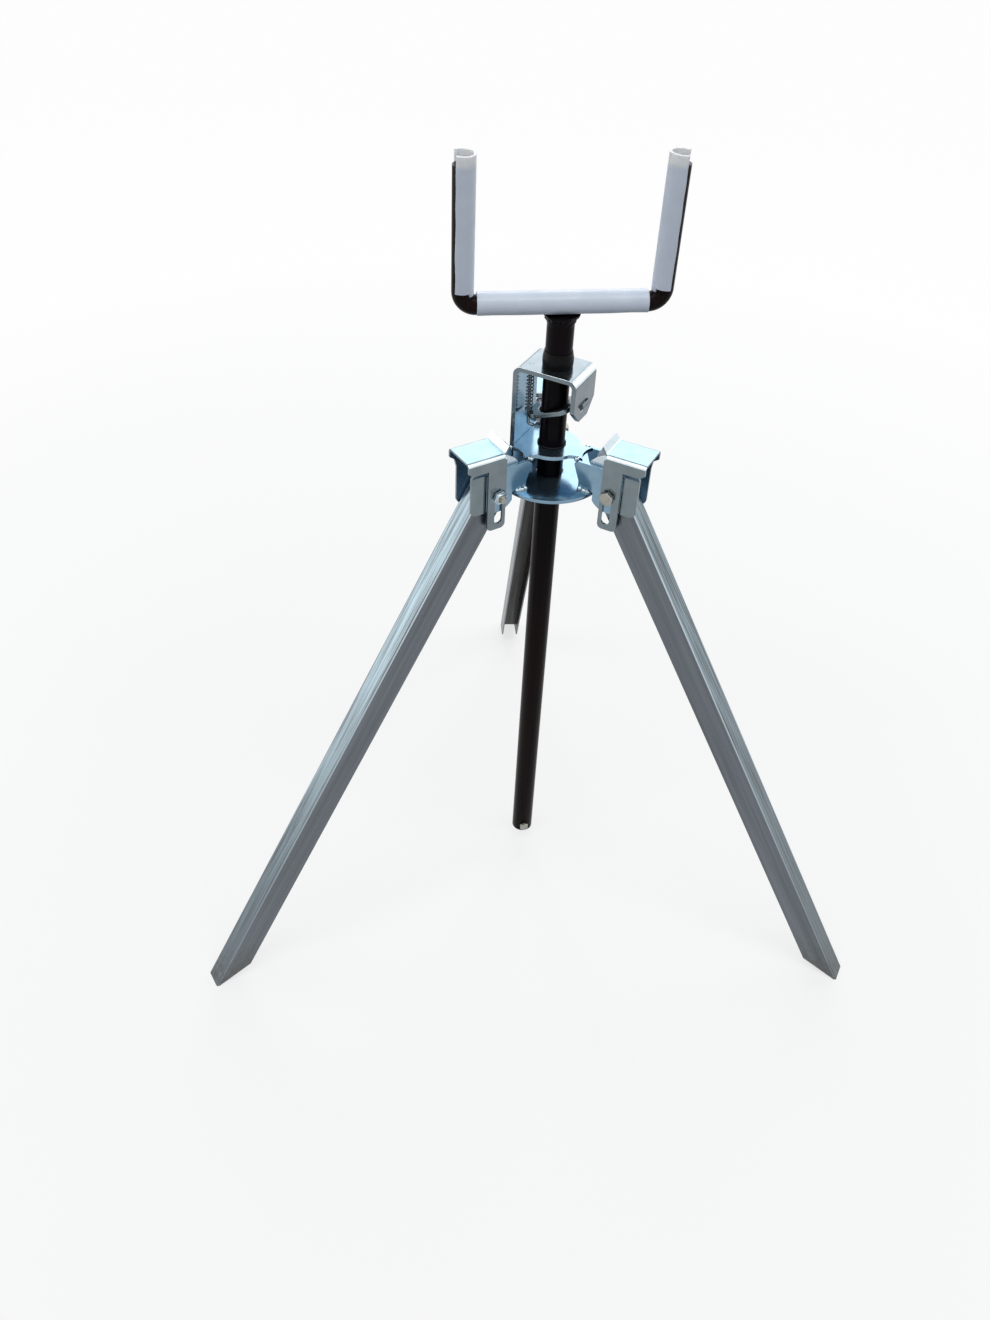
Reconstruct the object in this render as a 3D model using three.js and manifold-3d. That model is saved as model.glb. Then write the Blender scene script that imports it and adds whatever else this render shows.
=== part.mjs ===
// Folding tripod support stand with a height-adjustable fork.
// Millimetres, +Z up, standing on z = 0 with its three feet.
import * as THREE from 'three';
import { mergeVertices } from 'three/addons/utils/BufferGeometryUtils.js';
import Module from 'manifold-3d';

const wasm = await Module();
wasm.setup();

// Fits shared by all pieces
const seatGap = 0.3;
const boltPlay = 0.3;
const slideGap = 0.5;

// How far a cutting shape reaches past the faces that it cuts
const overcut = 1;

// Distance under which two points are one
const mergeDistance = 1e-4;

// Post and fork
const postDiameter = 33.7;
const postWall = 3.2;
const postFloorGap = 28;
const barDiameter = 23.4;
const forkInnerGap = 210.8;
const forkDepth = 154.4;
const forkBendRadius = 17;
const forkRise = 229.5;
const weldFlare = 5.9;
const weldHeight = 12;
const postCapThickness = 4;
const postTurn = THREE.MathUtils.degToRad(5);

// Split plastic sleeves on the fork
const sleeveDiameter = 29.6;
const sleeveSlitHalfAngle = THREE.MathUtils.degToRad(54);
const sleeveOverhang = 12;
const sleeveBendGap = 1;
const leftSleeveTurn = 180;
const rightSleeveTurn = -17;

// Stop bolt near the post's lower end
const stopBoltDiameter = 8;
const stopBoltAcrossFlats = 13;
const stopBoltHeadHeight = 5.3;
const stopNutHeight = 6.5;
const stopBoltRise = 14;
const stopBoltTail = 3;

// Hub plates
const discTopHeight = 760;
const discRadius = 73.4;
const plateThickness = 5;
const upperPlateRise = 41.5;
const upperPlateInradius = 39.5;
const upperPlateRadius = 36.5;
const upperPlateNeck = 9.5;
const upperPlateNeckAngle = THREE.MathUtils.degToRad(32);
const cornerReach = 51.5;
const cornerScallopDepth = 5;
const postHolePlay = 0.6;

// Guide bushes round the post
const bushWall = 0.9;
const bushLowCollar = 0.7;
const bushHighCollar = 1.35;
const bushLowCollarHeight = 2;
const bushHighCollarHeight = 20;
const bushCollarShape = [[0, 0.6], [0.3, 0.95], [0.6, 1], [0.85, 0.5], [1, -0.3]];

// Arms that carry the legs
const armGap = 33;
const armThickness = 5;
const armRise = 39.5;
const armChamfer = 5;
const armInnerLean = 8;
const armInnerUpright = 11;
const armLobeRadius = 27;
const armReach = 16.4;
const pivotRadius = 94.5;
const pivotRise = 3.5;

// Pivot bolts
const pivotBoltDiameter = 10;
const pivotAcrossFlats = 17;
const pivotHeadHeight = 6.4;
const pivotNutHeight = 8;
const pivotBoltTail = 4.5;
const pivotSleeveWall = 1.9;

// Channel legs
const legWidth = 32;
const legDepth = 40;
const legWall = 2.5;
const legBendRadius = 3.5;
const legLeastBend = 0.5;
const legWebOffset = 20.5;
const legLean = THREE.MathUtils.degToRad(31);
const legTopLength = 51.5;
const legTopRadius = 22;
const toeSoleDepth = 3.5;
const toeCutBack = 47;

// Lock caps
const capSheet = 3;
const capTopRise = 58;
const capBendRadius = 6;
const capInnerReach = 8;
const capOuterReach = 45;
const capTabInnerReach = 10.5;
const capTabDrop = 50;
const capTabCorner = 7;
const capSlit = 1.2;
const capLift = 36;
const capKeyholeDiameter = 20;
const capSlotWidth = 11.5;
const capWingReach = 38;
const capWingDrop = 24;
const capWingCorner = 9;
const capShoulderDrop = 18;
const capJogHeight = 8;
const capEndDrop = 13;
const capLipLength = 9;
const capLipBend = 2;
const capLipInset = 4;
const capLipRise = THREE.MathUtils.degToRad(60);

// Clutch bracket
const bracketThickness = 6;
const bracketWidth = 60;
const bracketRise = 150;
const bracketBendRadius = 11;
const bracketFlangeReach = 40;
const bracketFlangeHeight = 61;
const bracketFlangeChamfer = 18;
const windowRise = 107;
const windowPlay = 0.4;

// Clutch plate
const clutchTilt = THREE.MathUtils.degToRad(22);
const clutchThickness = 6;
const clutchWidth = 48;
const clutchTongueWidth = 20;
const clutchTongueLength = 7;
const clutchShoulder = 11;
const clutchTail = 36.5;
const clutchTailRoundness = 0.92;
const clutchShoulderFlat = 1;
const clutchGripGap = 0.8;
const clutchRelease = THREE.MathUtils.degToRad(12);

// Return spring and its pin
const springDiameter = 10;
const springWire = 1.4;
const springCurls = 11;
const springReach = 29;
const springAside = 14;
const springPinDiameter = 4;
const springPinDrop = 13;
const springPinHook = 4;

// Roundness of turned and bent shapes
const turnedSides = 32;
const barSides = 24;
const boltSides = 16;
const pinSides = 12;
const arcSegments = 8;
const bendSteps = 6;
const curlSteps = 8;
const curlSides = 5;

// Places that follow from the sizes
const legDirections = {
  rear: THREE.MathUtils.degToRad(90),
  left: THREE.MathUtils.degToRad(210),
  right: THREE.MathUtils.degToRad(330),
};
const barCentreHeight = discTopHeight + forkRise;
const postRadius = postDiameter / 2;
const barRadius = barDiameter / 2;
const sleeveRadius = sleeveDiameter / 2;
const armCentre = forkInnerGap / 2 + sleeveRadius;
const postTop = barCentreHeight - barRadius - seatGap;
const barTop = barCentreHeight + sleeveRadius + forkDepth - sleeveOverhang;
const pivotHeight = discTopHeight + pivotRise;
const armInner = armGap / 2;
const armOuter = armInner + armThickness;
const capInner = armOuter + slideGap;
const capOuter = capInner + capSheet;
const capWingInner = legWidth / 2 + slideGap;
const upperPlateTop = discTopHeight + upperPlateRise;
const bracketTop = discTopHeight + bracketRise;
const windowHeight = discTopHeight + windowRise;
const windowReach = bracketFlangeReach - bracketThickness / 2;
const bushOuterRadius = postRadius + seatGap + bushWall;
const bushHoleRadius = bushOuterRadius + seatGap;
const pivotBoltRadius = pivotBoltDiameter / 2;
const pivotSleeveRadius = pivotBoltRadius + boltPlay + pivotSleeveWall;

// Surface colours of the finishes
const zinc = { color: 0xb9c6cf, roughness: 0.32, metalness: 0.9 };
const galvanised = { color: 0xa3adb3, roughness: 0.45, metalness: 0.85 };
const yellowZinc = { color: 0xbdb28c, roughness: 0.35, metalness: 0.85 };
const blackSteel = { color: 0x1c191b, roughness: 0.4, metalness: 0.6 };
const springSteel = { color: 0x6b7277, roughness: 0.35, metalness: 0.9 };
const whitePlastic = { color: 0xe6ebf2, roughness: 0.4, metalness: 0 };
const blackPlastic = { color: 0x141416, roughness: 0.5, metalness: 0 };

// Solid from a closed geometry, with its faces turned outwards
function solid(geometry) {
  const bare = new THREE.BufferGeometry();
  const source = geometry.index ? geometry.toNonIndexed() : geometry;
  bare.setAttribute('position', source.getAttribute('position').clone());
  const merged = mergeVertices(bare, mergeDistance);
  const points = merged.getAttribute('position').array;
  const corner = (index) => new THREE.Vector3().fromArray(points, index * 3);
  const triangles = [];
  let volume = 0;
  for (let i = 0; i < merged.index.count; i += 3) {
    const [a, b, c] = [0, 1, 2].map((step) => merged.index.getX(i + step));
    if (a === b || b === c || c === a) continue;
    triangles.push([a, b, c]);
    volume += corner(a).dot(corner(b).cross(corner(c)));
  }
  const ordered = volume < 0 ? triangles.map(([a, b, c]) => [a, c, b]) : triangles;
  const mesh = new wasm.Mesh({
    numProp: 3,
    vertProperties: new Float32Array(points),
    triVerts: new Uint32Array(ordered.flat()),
  });
  return new wasm.Manifold(mesh);
}

// Geometry of a finished solid
function geometryOf(body) {
  const mesh = body.getMesh();
  const geometry = new THREE.BufferGeometry();
  geometry.setAttribute('position', new THREE.BufferAttribute(mesh.vertProperties, 3));
  geometry.setIndex(new THREE.BufferAttribute(mesh.triVerts, 1));
  geometry.computeVertexNormals();
  return geometry;
}

// Named piece with its own finish
function piece(name, body, finish) {
  const mesh = new THREE.Mesh(geometryOf(body), new THREE.MeshStandardMaterial(finish));
  mesh.name = name;
  return mesh;
}

// Union of several solids
function joined(first, ...others) {
  return others.reduce((body, other) => body.add(other), first);
}

// First solid with the others cut away
function cut(first, ...others) {
  return others.reduce((body, other) => body.subtract(other), first);
}

// Box between two corners
function block(low, high) {
  const geometry = new THREE.BoxGeometry(high[0] - low[0], high[1] - low[1], high[2] - low[2]);
  geometry.translate((low[0] + high[0]) / 2, (low[1] + high[1]) / 2, (low[2] + high[2]) / 2);
  return solid(geometry);
}

// Closed outline through a list of points
function outline(points) {
  return new THREE.Shape(points.map(([x, y]) => new THREE.Vector2(x, y)));
}

// Outline with each corner rounded to the radius given as its third number
function roundedOutline(corners) {
  const shape = new THREE.Shape();
  corners.forEach(([x, y, radius = 0], index) => {
    const here = new THREE.Vector2(x, y);
    const last = corners[(index + corners.length - 1) % corners.length];
    const next = corners[(index + 1) % corners.length];
    const back = new THREE.Vector2(last[0] - x, last[1] - y).normalize();
    const ahead = new THREE.Vector2(next[0] - x, next[1] - y).normalize();
    const half = Math.acos(THREE.MathUtils.clamp(back.dot(ahead), -1, 1)) / 2;
    const trim = radius / Math.tan(half);
    const start = here.clone().addScaledVector(back, trim);
    if (index === 0) shape.moveTo(start.x, start.y);
    else shape.lineTo(start.x, start.y);
    if (radius === 0) return;
    const inward = back.clone().add(ahead).normalize();
    const centre = here.clone().addScaledVector(inward, radius / Math.sin(half));
    const end = here.clone().addScaledVector(ahead, trim);
    const from = Math.atan2(start.y - centre.y, start.x - centre.x);
    const to = Math.atan2(end.y - centre.y, end.x - centre.x);
    const clockwise = back.x * ahead.y - back.y * ahead.x > 0;
    shape.absarc(centre.x, centre.y, radius, from, to, clockwise);
  });
  return shape;
}

// Outline in the X-Y plane pulled up between two heights
function flatPlate(shape, bottom, top) {
  const options = { depth: top - bottom, bevelEnabled: false, curveSegments: arcSegments };
  const geometry = new THREE.ExtrudeGeometry(shape, options);
  geometry.translate(0, 0, bottom);
  return solid(geometry);
}

// Outline in the X-Z plane pulled along Y between two places
function uprightPlate(shape, from, to) {
  const options = { depth: to - from, bevelEnabled: false, curveSegments: arcSegments };
  const geometry = new THREE.ExtrudeGeometry(shape, options);
  geometry.rotateX(Math.PI / 2);
  geometry.translate(0, to, 0);
  return solid(geometry);
}

// Outline in the Y-Z plane pulled along X between two places
function crossSection(shape, from, to) {
  const options = { depth: to - from, bevelEnabled: false, curveSegments: arcSegments };
  const geometry = new THREE.ExtrudeGeometry(shape, options);
  geometry.rotateX(Math.PI / 2);
  geometry.rotateZ(Math.PI / 2);
  geometry.translate(from, 0, 0);
  return solid(geometry);
}

// Profile of radius and height turned round the Z axis
function turned(profile, sides = turnedSides) {
  const points = profile.map(([radius, height]) => new THREE.Vector2(radius, height));
  const geometry = new THREE.LatheGeometry(points, sides);
  geometry.rotateX(Math.PI / 2);
  return solid(geometry);
}

// Upright ring between two radii
function ring(inner, outer, bottom, top) {
  return turned([[inner, bottom], [outer, bottom], [outer, top], [inner, top], [inner, bottom]]);
}

// Round rod along Z
function uprightRod(radius, bottom, top, sides = turnedSides) {
  const geometry = new THREE.CylinderGeometry(radius, radius, top - bottom, sides);
  geometry.rotateX(Math.PI / 2);
  geometry.translate(0, 0, (bottom + top) / 2);
  return solid(geometry);
}

// Round or six-sided rod along Y
function crossRod(radius, from, to, x, z, sides = boltSides) {
  const geometry = new THREE.CylinderGeometry(radius, radius, to - from, sides);
  geometry.translate(x, (from + to) / 2, z);
  return solid(geometry);
}

// Corner radius of a hexagon from its width across flats
function hexRadius(acrossFlats) {
  return acrossFlats / Math.sqrt(3);
}

// Curve that passes through every given station
class StationCurve extends THREE.Curve {
  constructor(stations) {
    super();
    this.stations = stations;
  }

  getPointAt(u) {
    return this.stations[Math.round(u * (this.stations.length - 1))].clone();
  }

  getTangentAt(u) {
    const last = this.stations.length - 1;
    const index = Math.round(u * last);
    const before = this.stations[Math.max(index - 1, 0)];
    const after = this.stations[Math.min(index + 1, last)];
    return after.clone().sub(before).normalize();
  }
}

// Round bar or wire along a list of stations
function bentBar(stations, radius, sides) {
  const section = [];
  for (let i = 0; i < sides; i += 1) {
    const angle = (2 * Math.PI * i) / sides;
    section.push([radius * Math.cos(angle), radius * Math.sin(angle)]);
  }
  const options = { steps: stations.length - 1, extrudePath: new StationCurve(stations) };
  return solid(new THREE.ExtrudeGeometry(outline(section), { ...options, bevelEnabled: false }));
}

// Group turned about the post's axis to face one of the directions
function facing(direction, ...members) {
  const group = new THREE.Group();
  group.rotation.z = direction;
  group.add(...members);
  return group;
}

// Post tube, closed at its welded top and open at its lower end
function postTube() {
  const inner = postRadius - postWall;
  const weldRadius = postRadius + weldFlare;
  const tube = turned([
    [0, postTop - postCapThickness],
    [inner, postTop - postCapThickness],
    [inner, postFloorGap],
    [postRadius, postFloorGap],
    [postRadius, postTop - weldHeight],
    [postRadius + weldFlare / 3, postTop - weldHeight / 2],
    [weldRadius, postTop - weldHeight / 6],
    [weldRadius, postTop],
    [0, postTop],
  ]);
  const holeRadius = stopBoltDiameter / 2 + boltPlay;
  const height = postFloorGap + stopBoltRise;
  const stopHole = crossRod(holeRadius, -postRadius - overcut, postRadius + overcut, 0, height);
  return cut(tube, stopHole);
}

// U-shaped fork bent from one round bar
function forkBar() {
  const stations = [new THREE.Vector3(-armCentre, 0, barTop)];
  for (const side of [-1, 1]) {
    const bendX = side * (armCentre - forkBendRadius);
    const bendZ = barCentreHeight + forkBendRadius;
    for (let i = 0; i <= bendSteps; i += 1) {
      const share = side < 0 ? i / bendSteps : 1 - i / bendSteps;
      const angle = (Math.PI / 2) * share;
      const x = bendX + side * forkBendRadius * Math.cos(angle);
      const z = bendZ - forkBendRadius * Math.sin(angle);
      stations.push(new THREE.Vector3(x, 0, z));
    }
  }
  stations.push(new THREE.Vector3(armCentre, 0, barTop));
  return bentBar(stations, barRadius, barSides);
}

// Split sleeve along Z with its wide slit towards +X
function splitSleeve(bottom, top) {
  const tube = ring(barRadius + seatGap, sleeveRadius, bottom, top);
  const reach = sleeveDiameter * Math.cos(sleeveSlitHalfAngle);
  const aside = sleeveDiameter * Math.sin(sleeveSlitHalfAngle);
  const wedge = outline([[0, 0], [reach, -aside], [reach, aside]]);
  return cut(tube, flatPlate(wedge, bottom - overcut, top + overcut));
}

// Sleeve on one upright of the fork, its slit turned outwards
function uprightSleeve(side) {
  const bottom = barCentreHeight + forkBendRadius + sleeveBendGap;
  const body = splitSleeve(bottom, barTop + sleeveOverhang);
  const turn = side < 0 ? leftSleeveTurn : rightSleeveTurn;
  return body.rotate([0, 0, turn]).translate([side * armCentre, 0, 0]);
}

// Sleeve on the fork's crossbar, slit underneath and cut out over the post's weld
function crossbarSleeve() {
  const half = armCentre - forkBendRadius - sleeveBendGap;
  const lying = splitSleeve(-half, half).rotate([0, 90, 0]).translate([0, 0, barCentreHeight]);
  const weldRadius = postRadius + weldFlare + seatGap;
  const weldRoom = uprightRod(weldRadius, postTop - weldHeight, postTop + seatGap);
  return cut(lying, weldRoom);
}

// Stop bolt through the post, head at the front
function stopBolt() {
  const height = postFloorGap + stopBoltRise;
  const seat = postRadius + seatGap;
  const head = crossRod(hexRadius(stopBoltAcrossFlats), -seat - stopBoltHeadHeight, -seat, 0, height, 6);
  const shankEnd = seat + stopNutHeight + stopBoltTail;
  const shank = crossRod(stopBoltDiameter / 2, -seat - stopBoltHeadHeight / 2, shankEnd, 0, height);
  return joined(head, shank);
}

// Nut on the back of the stop bolt
function stopNut() {
  const height = postFloorGap + stopBoltRise;
  const seat = postRadius + seatGap;
  const nut = crossRod(hexRadius(stopBoltAcrossFlats), seat, seat + stopNutHeight, 0, height, 6);
  const boreRadius = stopBoltDiameter / 2 + boltPlay;
  const bore = crossRod(boreRadius, seat - overcut, seat + stopNutHeight + overcut, 0, height);
  return cut(nut, bore);
}

// Round lower plate of the hub
function lowerDisc() {
  return ring(postRadius + postHolePlay, discRadius, discTopHeight - plateThickness, discTopHeight);
}

// Upper plate: round in the middle, drawn out to a scalloped corner at each arm, straight at the bracket
function upperPlate() {
  const half = (2 * upperPlateInradius - cornerReach) / Math.sqrt(3);
  const chord = Math.hypot(half, cornerScallopDepth);
  const scallopRadius = (chord * chord) / (2 * cornerScallopDepth);
  const swing = upperPlateNeckAngle;
  const shape = new THREE.Shape();
  const turns = Object.values(legDirections);
  turns.forEach((turn, index) => {
    const at = (reach, aside) => [
      reach * Math.cos(turn) - aside * Math.sin(turn),
      reach * Math.sin(turn) + aside * Math.cos(turn),
    ];
    const round = [upperPlateRadius * Math.cos(swing), upperPlateRadius * Math.sin(swing)];
    const bend = [
      round[0] + upperPlateNeck * Math.sin(swing),
      round[1] - upperPlateNeck * Math.cos(swing),
    ];
    if (index === 0) shape.moveTo(...at(cornerReach, -half));
    else if (index === 1) shape.lineTo(...at(cornerReach, -half));
    else shape.quadraticCurveTo(...at(bend[0], -bend[1]), ...at(cornerReach, -half));
    shape.lineTo(...at(cornerReach, half));
    if (index === 0) return;
    shape.quadraticCurveTo(...at(...bend), ...at(...round));
    const next = turns[(index + 1) % turns.length];
    const sweep = (next - turn + 2 * Math.PI) % (2 * Math.PI);
    shape.absarc(0, 0, upperPlateRadius, turn + swing, turn + sweep - swing, false);
    if (index < turns.length - 1) return;
    const close = (reach, aside) => [
      reach * Math.cos(next) - aside * Math.sin(next),
      reach * Math.sin(next) + aside * Math.cos(next),
    ];
    shape.quadraticCurveTo(...close(bend[0], -bend[1]), ...close(cornerReach, -half));
  });
  const bottom = upperPlateTop - plateThickness;
  let plate = flatPlate(shape, bottom, upperPlateTop);
  for (const turn of turns) {
    const reach = cornerReach - cornerScallopDepth + scallopRadius;
    const bite = uprightRod(scallopRadius, bottom - overcut, upperPlateTop + overcut);
    plate = cut(plate, bite.translate([reach * Math.cos(turn), reach * Math.sin(turn), 0]));
  }
  return cut(plate, uprightRod(bushHoleRadius, bottom - overcut, upperPlateTop + overcut));
}

// Guide bush that lines a hole round the post and stands on the plate with its collar
function postBush(plateTop, thickness, collarHeight, collarReach) {
  const inner = postRadius + seatGap;
  const seat = plateTop + seatGap;
  const collar = bushCollarShape.map(([height, reach]) => [
    bushOuterRadius + collarReach * reach,
    seat + collarHeight * height,
  ]);
  return turned([
    [inner, plateTop - thickness],
    [bushOuterRadius, plateTop - thickness],
    [bushOuterRadius, seat],
    ...collar,
    [inner, seat + collarHeight],
    [inner, plateTop - thickness],
  ]);
}

// One side plate of an arm, seen from the side with the post at x = 0, its inner end upright or leaning in
function armPlate(side, lean) {
  const innerEnd = 2 * upperPlateInradius - armInner * Math.sqrt(3) + slideGap;
  const rim = Math.sqrt(discRadius ** 2 - armInner ** 2) + seatGap;
  const bottom = discTopHeight + seatGap;
  const top = discTopHeight + armRise;
  const outerEnd = pivotRadius + armReach;
  const shape = new THREE.Shape();
  shape.moveTo(innerEnd, bottom);
  shape.lineTo(innerEnd, bottom + armInnerUpright);
  shape.lineTo(innerEnd - lean, top - armChamfer);
  shape.lineTo(innerEnd - lean + armChamfer, top);
  shape.lineTo(outerEnd - armChamfer, top);
  shape.lineTo(outerEnd, top - armChamfer);
  const startAngle = -Math.acos(armReach / armLobeRadius);
  const endAngle = -Math.acos(Math.max((rim - pivotRadius) / armLobeRadius, -1));
  shape.absarc(pivotRadius, pivotHeight, armLobeRadius, startAngle, endAngle, true);
  shape.lineTo(rim, bottom);
  const from = side < 0 ? -armOuter : armInner;
  const plate = uprightPlate(shape, from, from + armThickness);
  const hole = crossRod(pivotBoltRadius + boltPlay, -capOuter, capOuter, pivotRadius, pivotHeight);
  return cut(plate, hole);
}

// Pivot bolt with its head on the clockwise side of the arm
function pivotBolt() {
  const seat = capOuter + slideGap;
  const headStart = -seat - pivotHeadHeight;
  const head = crossRod(hexRadius(pivotAcrossFlats), headStart, -seat, pivotRadius, pivotHeight, 6);
  const shankEnd = seat + pivotNutHeight + pivotBoltTail;
  const shankStart = -seat - pivotHeadHeight / 2;
  return joined(head, crossRod(pivotBoltRadius, shankStart, shankEnd, pivotRadius, pivotHeight));
}

// Nut on the other end of the pivot bolt
function pivotNut() {
  const seat = capOuter + slideGap;
  const end = seat + pivotNutHeight;
  const nut = crossRod(hexRadius(pivotAcrossFlats), seat, end, pivotRadius, pivotHeight, 6);
  const boreRadius = pivotBoltRadius + boltPlay;
  return cut(nut, crossRod(boreRadius, seat - overcut, end + overcut, pivotRadius, pivotHeight));
}

// Spacer sleeve on the pivot bolt, on which the leg turns
function pivotSleeve() {
  const end = armInner - seatGap;
  const tube = crossRod(pivotSleeveRadius, -end, end, pivotRadius, pivotHeight, barSides);
  const boreRadius = pivotBoltRadius + boltPlay;
  return cut(tube, crossRod(boreRadius, -end - overcut, end + overcut, pivotRadius, pivotHeight));
}

// Channel leg, upright about its pivot with the web towards +X
function legChannel() {
  const half = legWidth / 2;
  const open = legWebOffset - legDepth;
  const innerBend = Math.max(legBendRadius - legWall, legLeastBend);
  const section = roundedOutline([
    [legWebOffset, -half, legBendRadius],
    [legWebOffset, half, legBendRadius],
    [open, half],
    [open, half - legWall],
    [legWebOffset - legWall, half - legWall, innerBend],
    [legWebOffset - legWall, -half + legWall, innerBend],
    [open, -half + legWall],
    [open, -half],
  ]);
  const floorAt = (x) => -(pivotHeight + x * Math.sin(legLean)) / Math.cos(legLean);
  const sole = legWebOffset - toeSoleDepth;
  const side = roundedOutline([
    [legWebOffset, floorAt(legWebOffset)],
    [legWebOffset, legTopLength],
    [open, legTopLength, legTopRadius],
    [open, floorAt(legWebOffset) + toeCutBack],
    [sole, floorAt(sole)],
  ]);
  const length = flatPlate(section, floorAt(legWebOffset) - overcut, legTopLength + overcut);
  const across = half + overcut;
  const body = length.intersect(uprightPlate(side, -across, across));
  const hole = crossRod(pivotSleeveRadius + boltPlay, -across, across, 0, 0, barSides);
  return cut(body, hole);
}

// Outline of the keyhole in a lock cap's tab, round over the bolt and narrow below
function keyhole() {
  const shape = new THREE.Shape();
  const slotHalf = capSlotWidth / 2;
  const holeRadius = capKeyholeDiameter / 2;
  const bend = capLift + pivotBoltRadius + boltPlay + slideGap - slotHalf;
  const open = Math.asin(slotHalf / holeRadius);
  shape.absarc(0, 0, holeRadius, -Math.PI / 2 + open, (3 * Math.PI) / 2 - open, false);
  shape.absarc(0, -bend, slotHalf, Math.PI, 2 * Math.PI, false);
  return shape;
}

// Lip turned up at the inner end of a lock cap's roof, by which a hand lifts the cap
function capLip() {
  const top = capTopRise;
  const halfTurn = Math.tan(capLipRise / 2);
  const start = -capInnerReach + capLipBend;
  const bend = -capInnerReach - capLipBend * halfTurn;
  const reach = capLipLength + capLipBend * halfTurn;
  const tipX = bend - reach * Math.cos(capLipRise);
  const tipZ = top + reach * Math.sin(capLipRise);
  const profile = roundedOutline([
    [start, top],
    [bend, top, capLipBend],
    [tipX, tipZ],
    [tipX - capSheet * Math.sin(capLipRise), tipZ - capSheet * Math.cos(capLipRise)],
    [bend - capSheet * halfTurn, top - capSheet, capLipBend + capSheet],
    [start, top - capSheet],
  ]);
  const half = capOuter - capLipInset;
  return uprightPlate(profile, -half, half);
}

// Lock cap about its pivot, hanging over the arm and hugging the leg
function lockCap() {
  const top = capTopRise;
  const shoulder = top - capShoulderDrop;
  const tabEnd = armReach - seatGap;
  const roof = roundedOutline([
    [-capOuter, shoulder],
    [-capOuter, top, capBendRadius],
    [capOuter, top, capBendRadius],
    [capOuter, shoulder],
    [capInner, shoulder],
    [capInner, top - capSheet, capBendRadius - capSheet],
    [-capInner, top - capSheet, capBendRadius - capSheet],
    [-capInner, shoulder],
  ]);
  const end = outline([
    [capWingReach, shoulder - overcut],
    [capOuterReach + overcut, shoulder - overcut],
    [capOuterReach + overcut, top - capEndDrop],
    [capOuterReach, top - capEndDrop],
    [capWingReach, shoulder],
  ]);
  const tab = roundedOutline([
    [-capTabInnerReach, top - capBendRadius],
    [tabEnd, top - capBendRadius],
    [tabEnd, -capTabDrop, capTabCorner],
    [-capTabInnerReach, -capTabDrop, capTabCorner],
  ]);
  const wingOuter = capWingInner + capSheet;
  const knee = shoulder - capJogHeight;
  const bendDrop = capSheet * Math.tan(Math.atan2(capOuter - wingOuter, capJogHeight) / 2);
  const wing = outline([
    [capInner, shoulder + capSheet],
    [capInner, shoulder + bendDrop],
    [capWingInner, knee + bendDrop],
    [capWingInner, -capWingDrop],
    [wingOuter, -capWingDrop],
    [wingOuter, knee],
    [capOuter, shoulder],
    [capOuter, shoulder + capSheet],
  ]);
  const wingStart = tabEnd + capSlit;
  const wingSide = roundedOutline([
    [wingStart, -capWingDrop],
    [capWingReach, -capWingDrop, capWingCorner],
    [capWingReach, top],
    [wingStart, top],
  ]);
  const wingBody = crossSection(wing, wingStart, capWingReach);
  const wingTrimmed = wingBody.intersect(uprightPlate(wingSide, 0, capOuter + overcut));
  const tabBody = uprightPlate(tab, capInner, capOuter);
  const body = joined(
    crossSection(roof, -capInnerReach, capOuterReach),
    capLip(),
    tabBody,
    tabBody.mirror([0, 1, 0]),
    wingTrimmed,
    wingTrimmed.mirror([0, 1, 0]),
  );
  const through = [-capOuter - overcut, capOuter + overcut];
  return cut(body, uprightPlate(keyhole(), ...through), uprightPlate(end, ...through));
}

// Distance from the clutch plate's tongue pivot to the centre of its post hole
function clutchHoleReach() {
  return windowReach / Math.cos(clutchTilt);
}

// Bent clutch bracket, its flange with the tongue window towards +X
function clutchBracket() {
  const back = -upperPlateInradius - seatGap;
  const flangeInner = bracketFlangeReach - bracketThickness;
  const innerBend = bracketBendRadius - bracketThickness;
  const flangeBottom = bracketTop - bracketFlangeHeight;
  const profile = roundedOutline([
    [back - bracketThickness, discTopHeight + seatGap],
    [back - bracketThickness, bracketTop, bracketBendRadius],
    [bracketFlangeReach, bracketTop, bracketBendRadius],
    [bracketFlangeReach, flangeBottom],
    [flangeInner, flangeBottom],
    [flangeInner, bracketTop - bracketThickness, innerBend],
    [back, bracketTop - bracketThickness, innerBend],
    [back, discTopHeight + seatGap],
  ]);
  const half = bracketWidth / 2;
  const bent = uprightPlate(profile, -half, half);
  const corner = (side) => outline([
    [side * half, flangeBottom + bracketFlangeChamfer],
    [side * (half - bracketFlangeChamfer), flangeBottom],
    [side * half, flangeBottom - overcut],
    [side * (half + overcut), flangeBottom - overcut],
    [side * (half + overcut), flangeBottom + bracketFlangeChamfer],
  ]);
  const flangeOuter = bracketFlangeReach + overcut;
  const corners = [-1, 1].map((side) => crossSection(corner(side), 0, flangeOuter));
  const windowHalf = clutchTongueWidth / 2 + windowPlay;
  const slant = (bracketThickness / 2) * Math.tan(clutchTilt);
  const windowUp = clutchThickness / 2 / Math.cos(clutchTilt) + slant + windowPlay;
  const window = block(
    [flangeInner - overcut, -windowHalf, windowHeight - windowUp],
    [flangeOuter, windowHalf, windowHeight + windowUp],
  );
  const roof = [bracketTop - bracketThickness - overcut, bracketTop + overcut];
  const postHole = uprightRod(bushHoleRadius, ...roof);
  const pinRadius = springPinDiameter / 2 + boltPlay;
  const pinHole = uprightRod(pinRadius, ...roof, boltSides);
  return cut(bent, ...corners, window, postHole, pinHole.translate([-springReach, -springAside, 0]));
}

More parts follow.
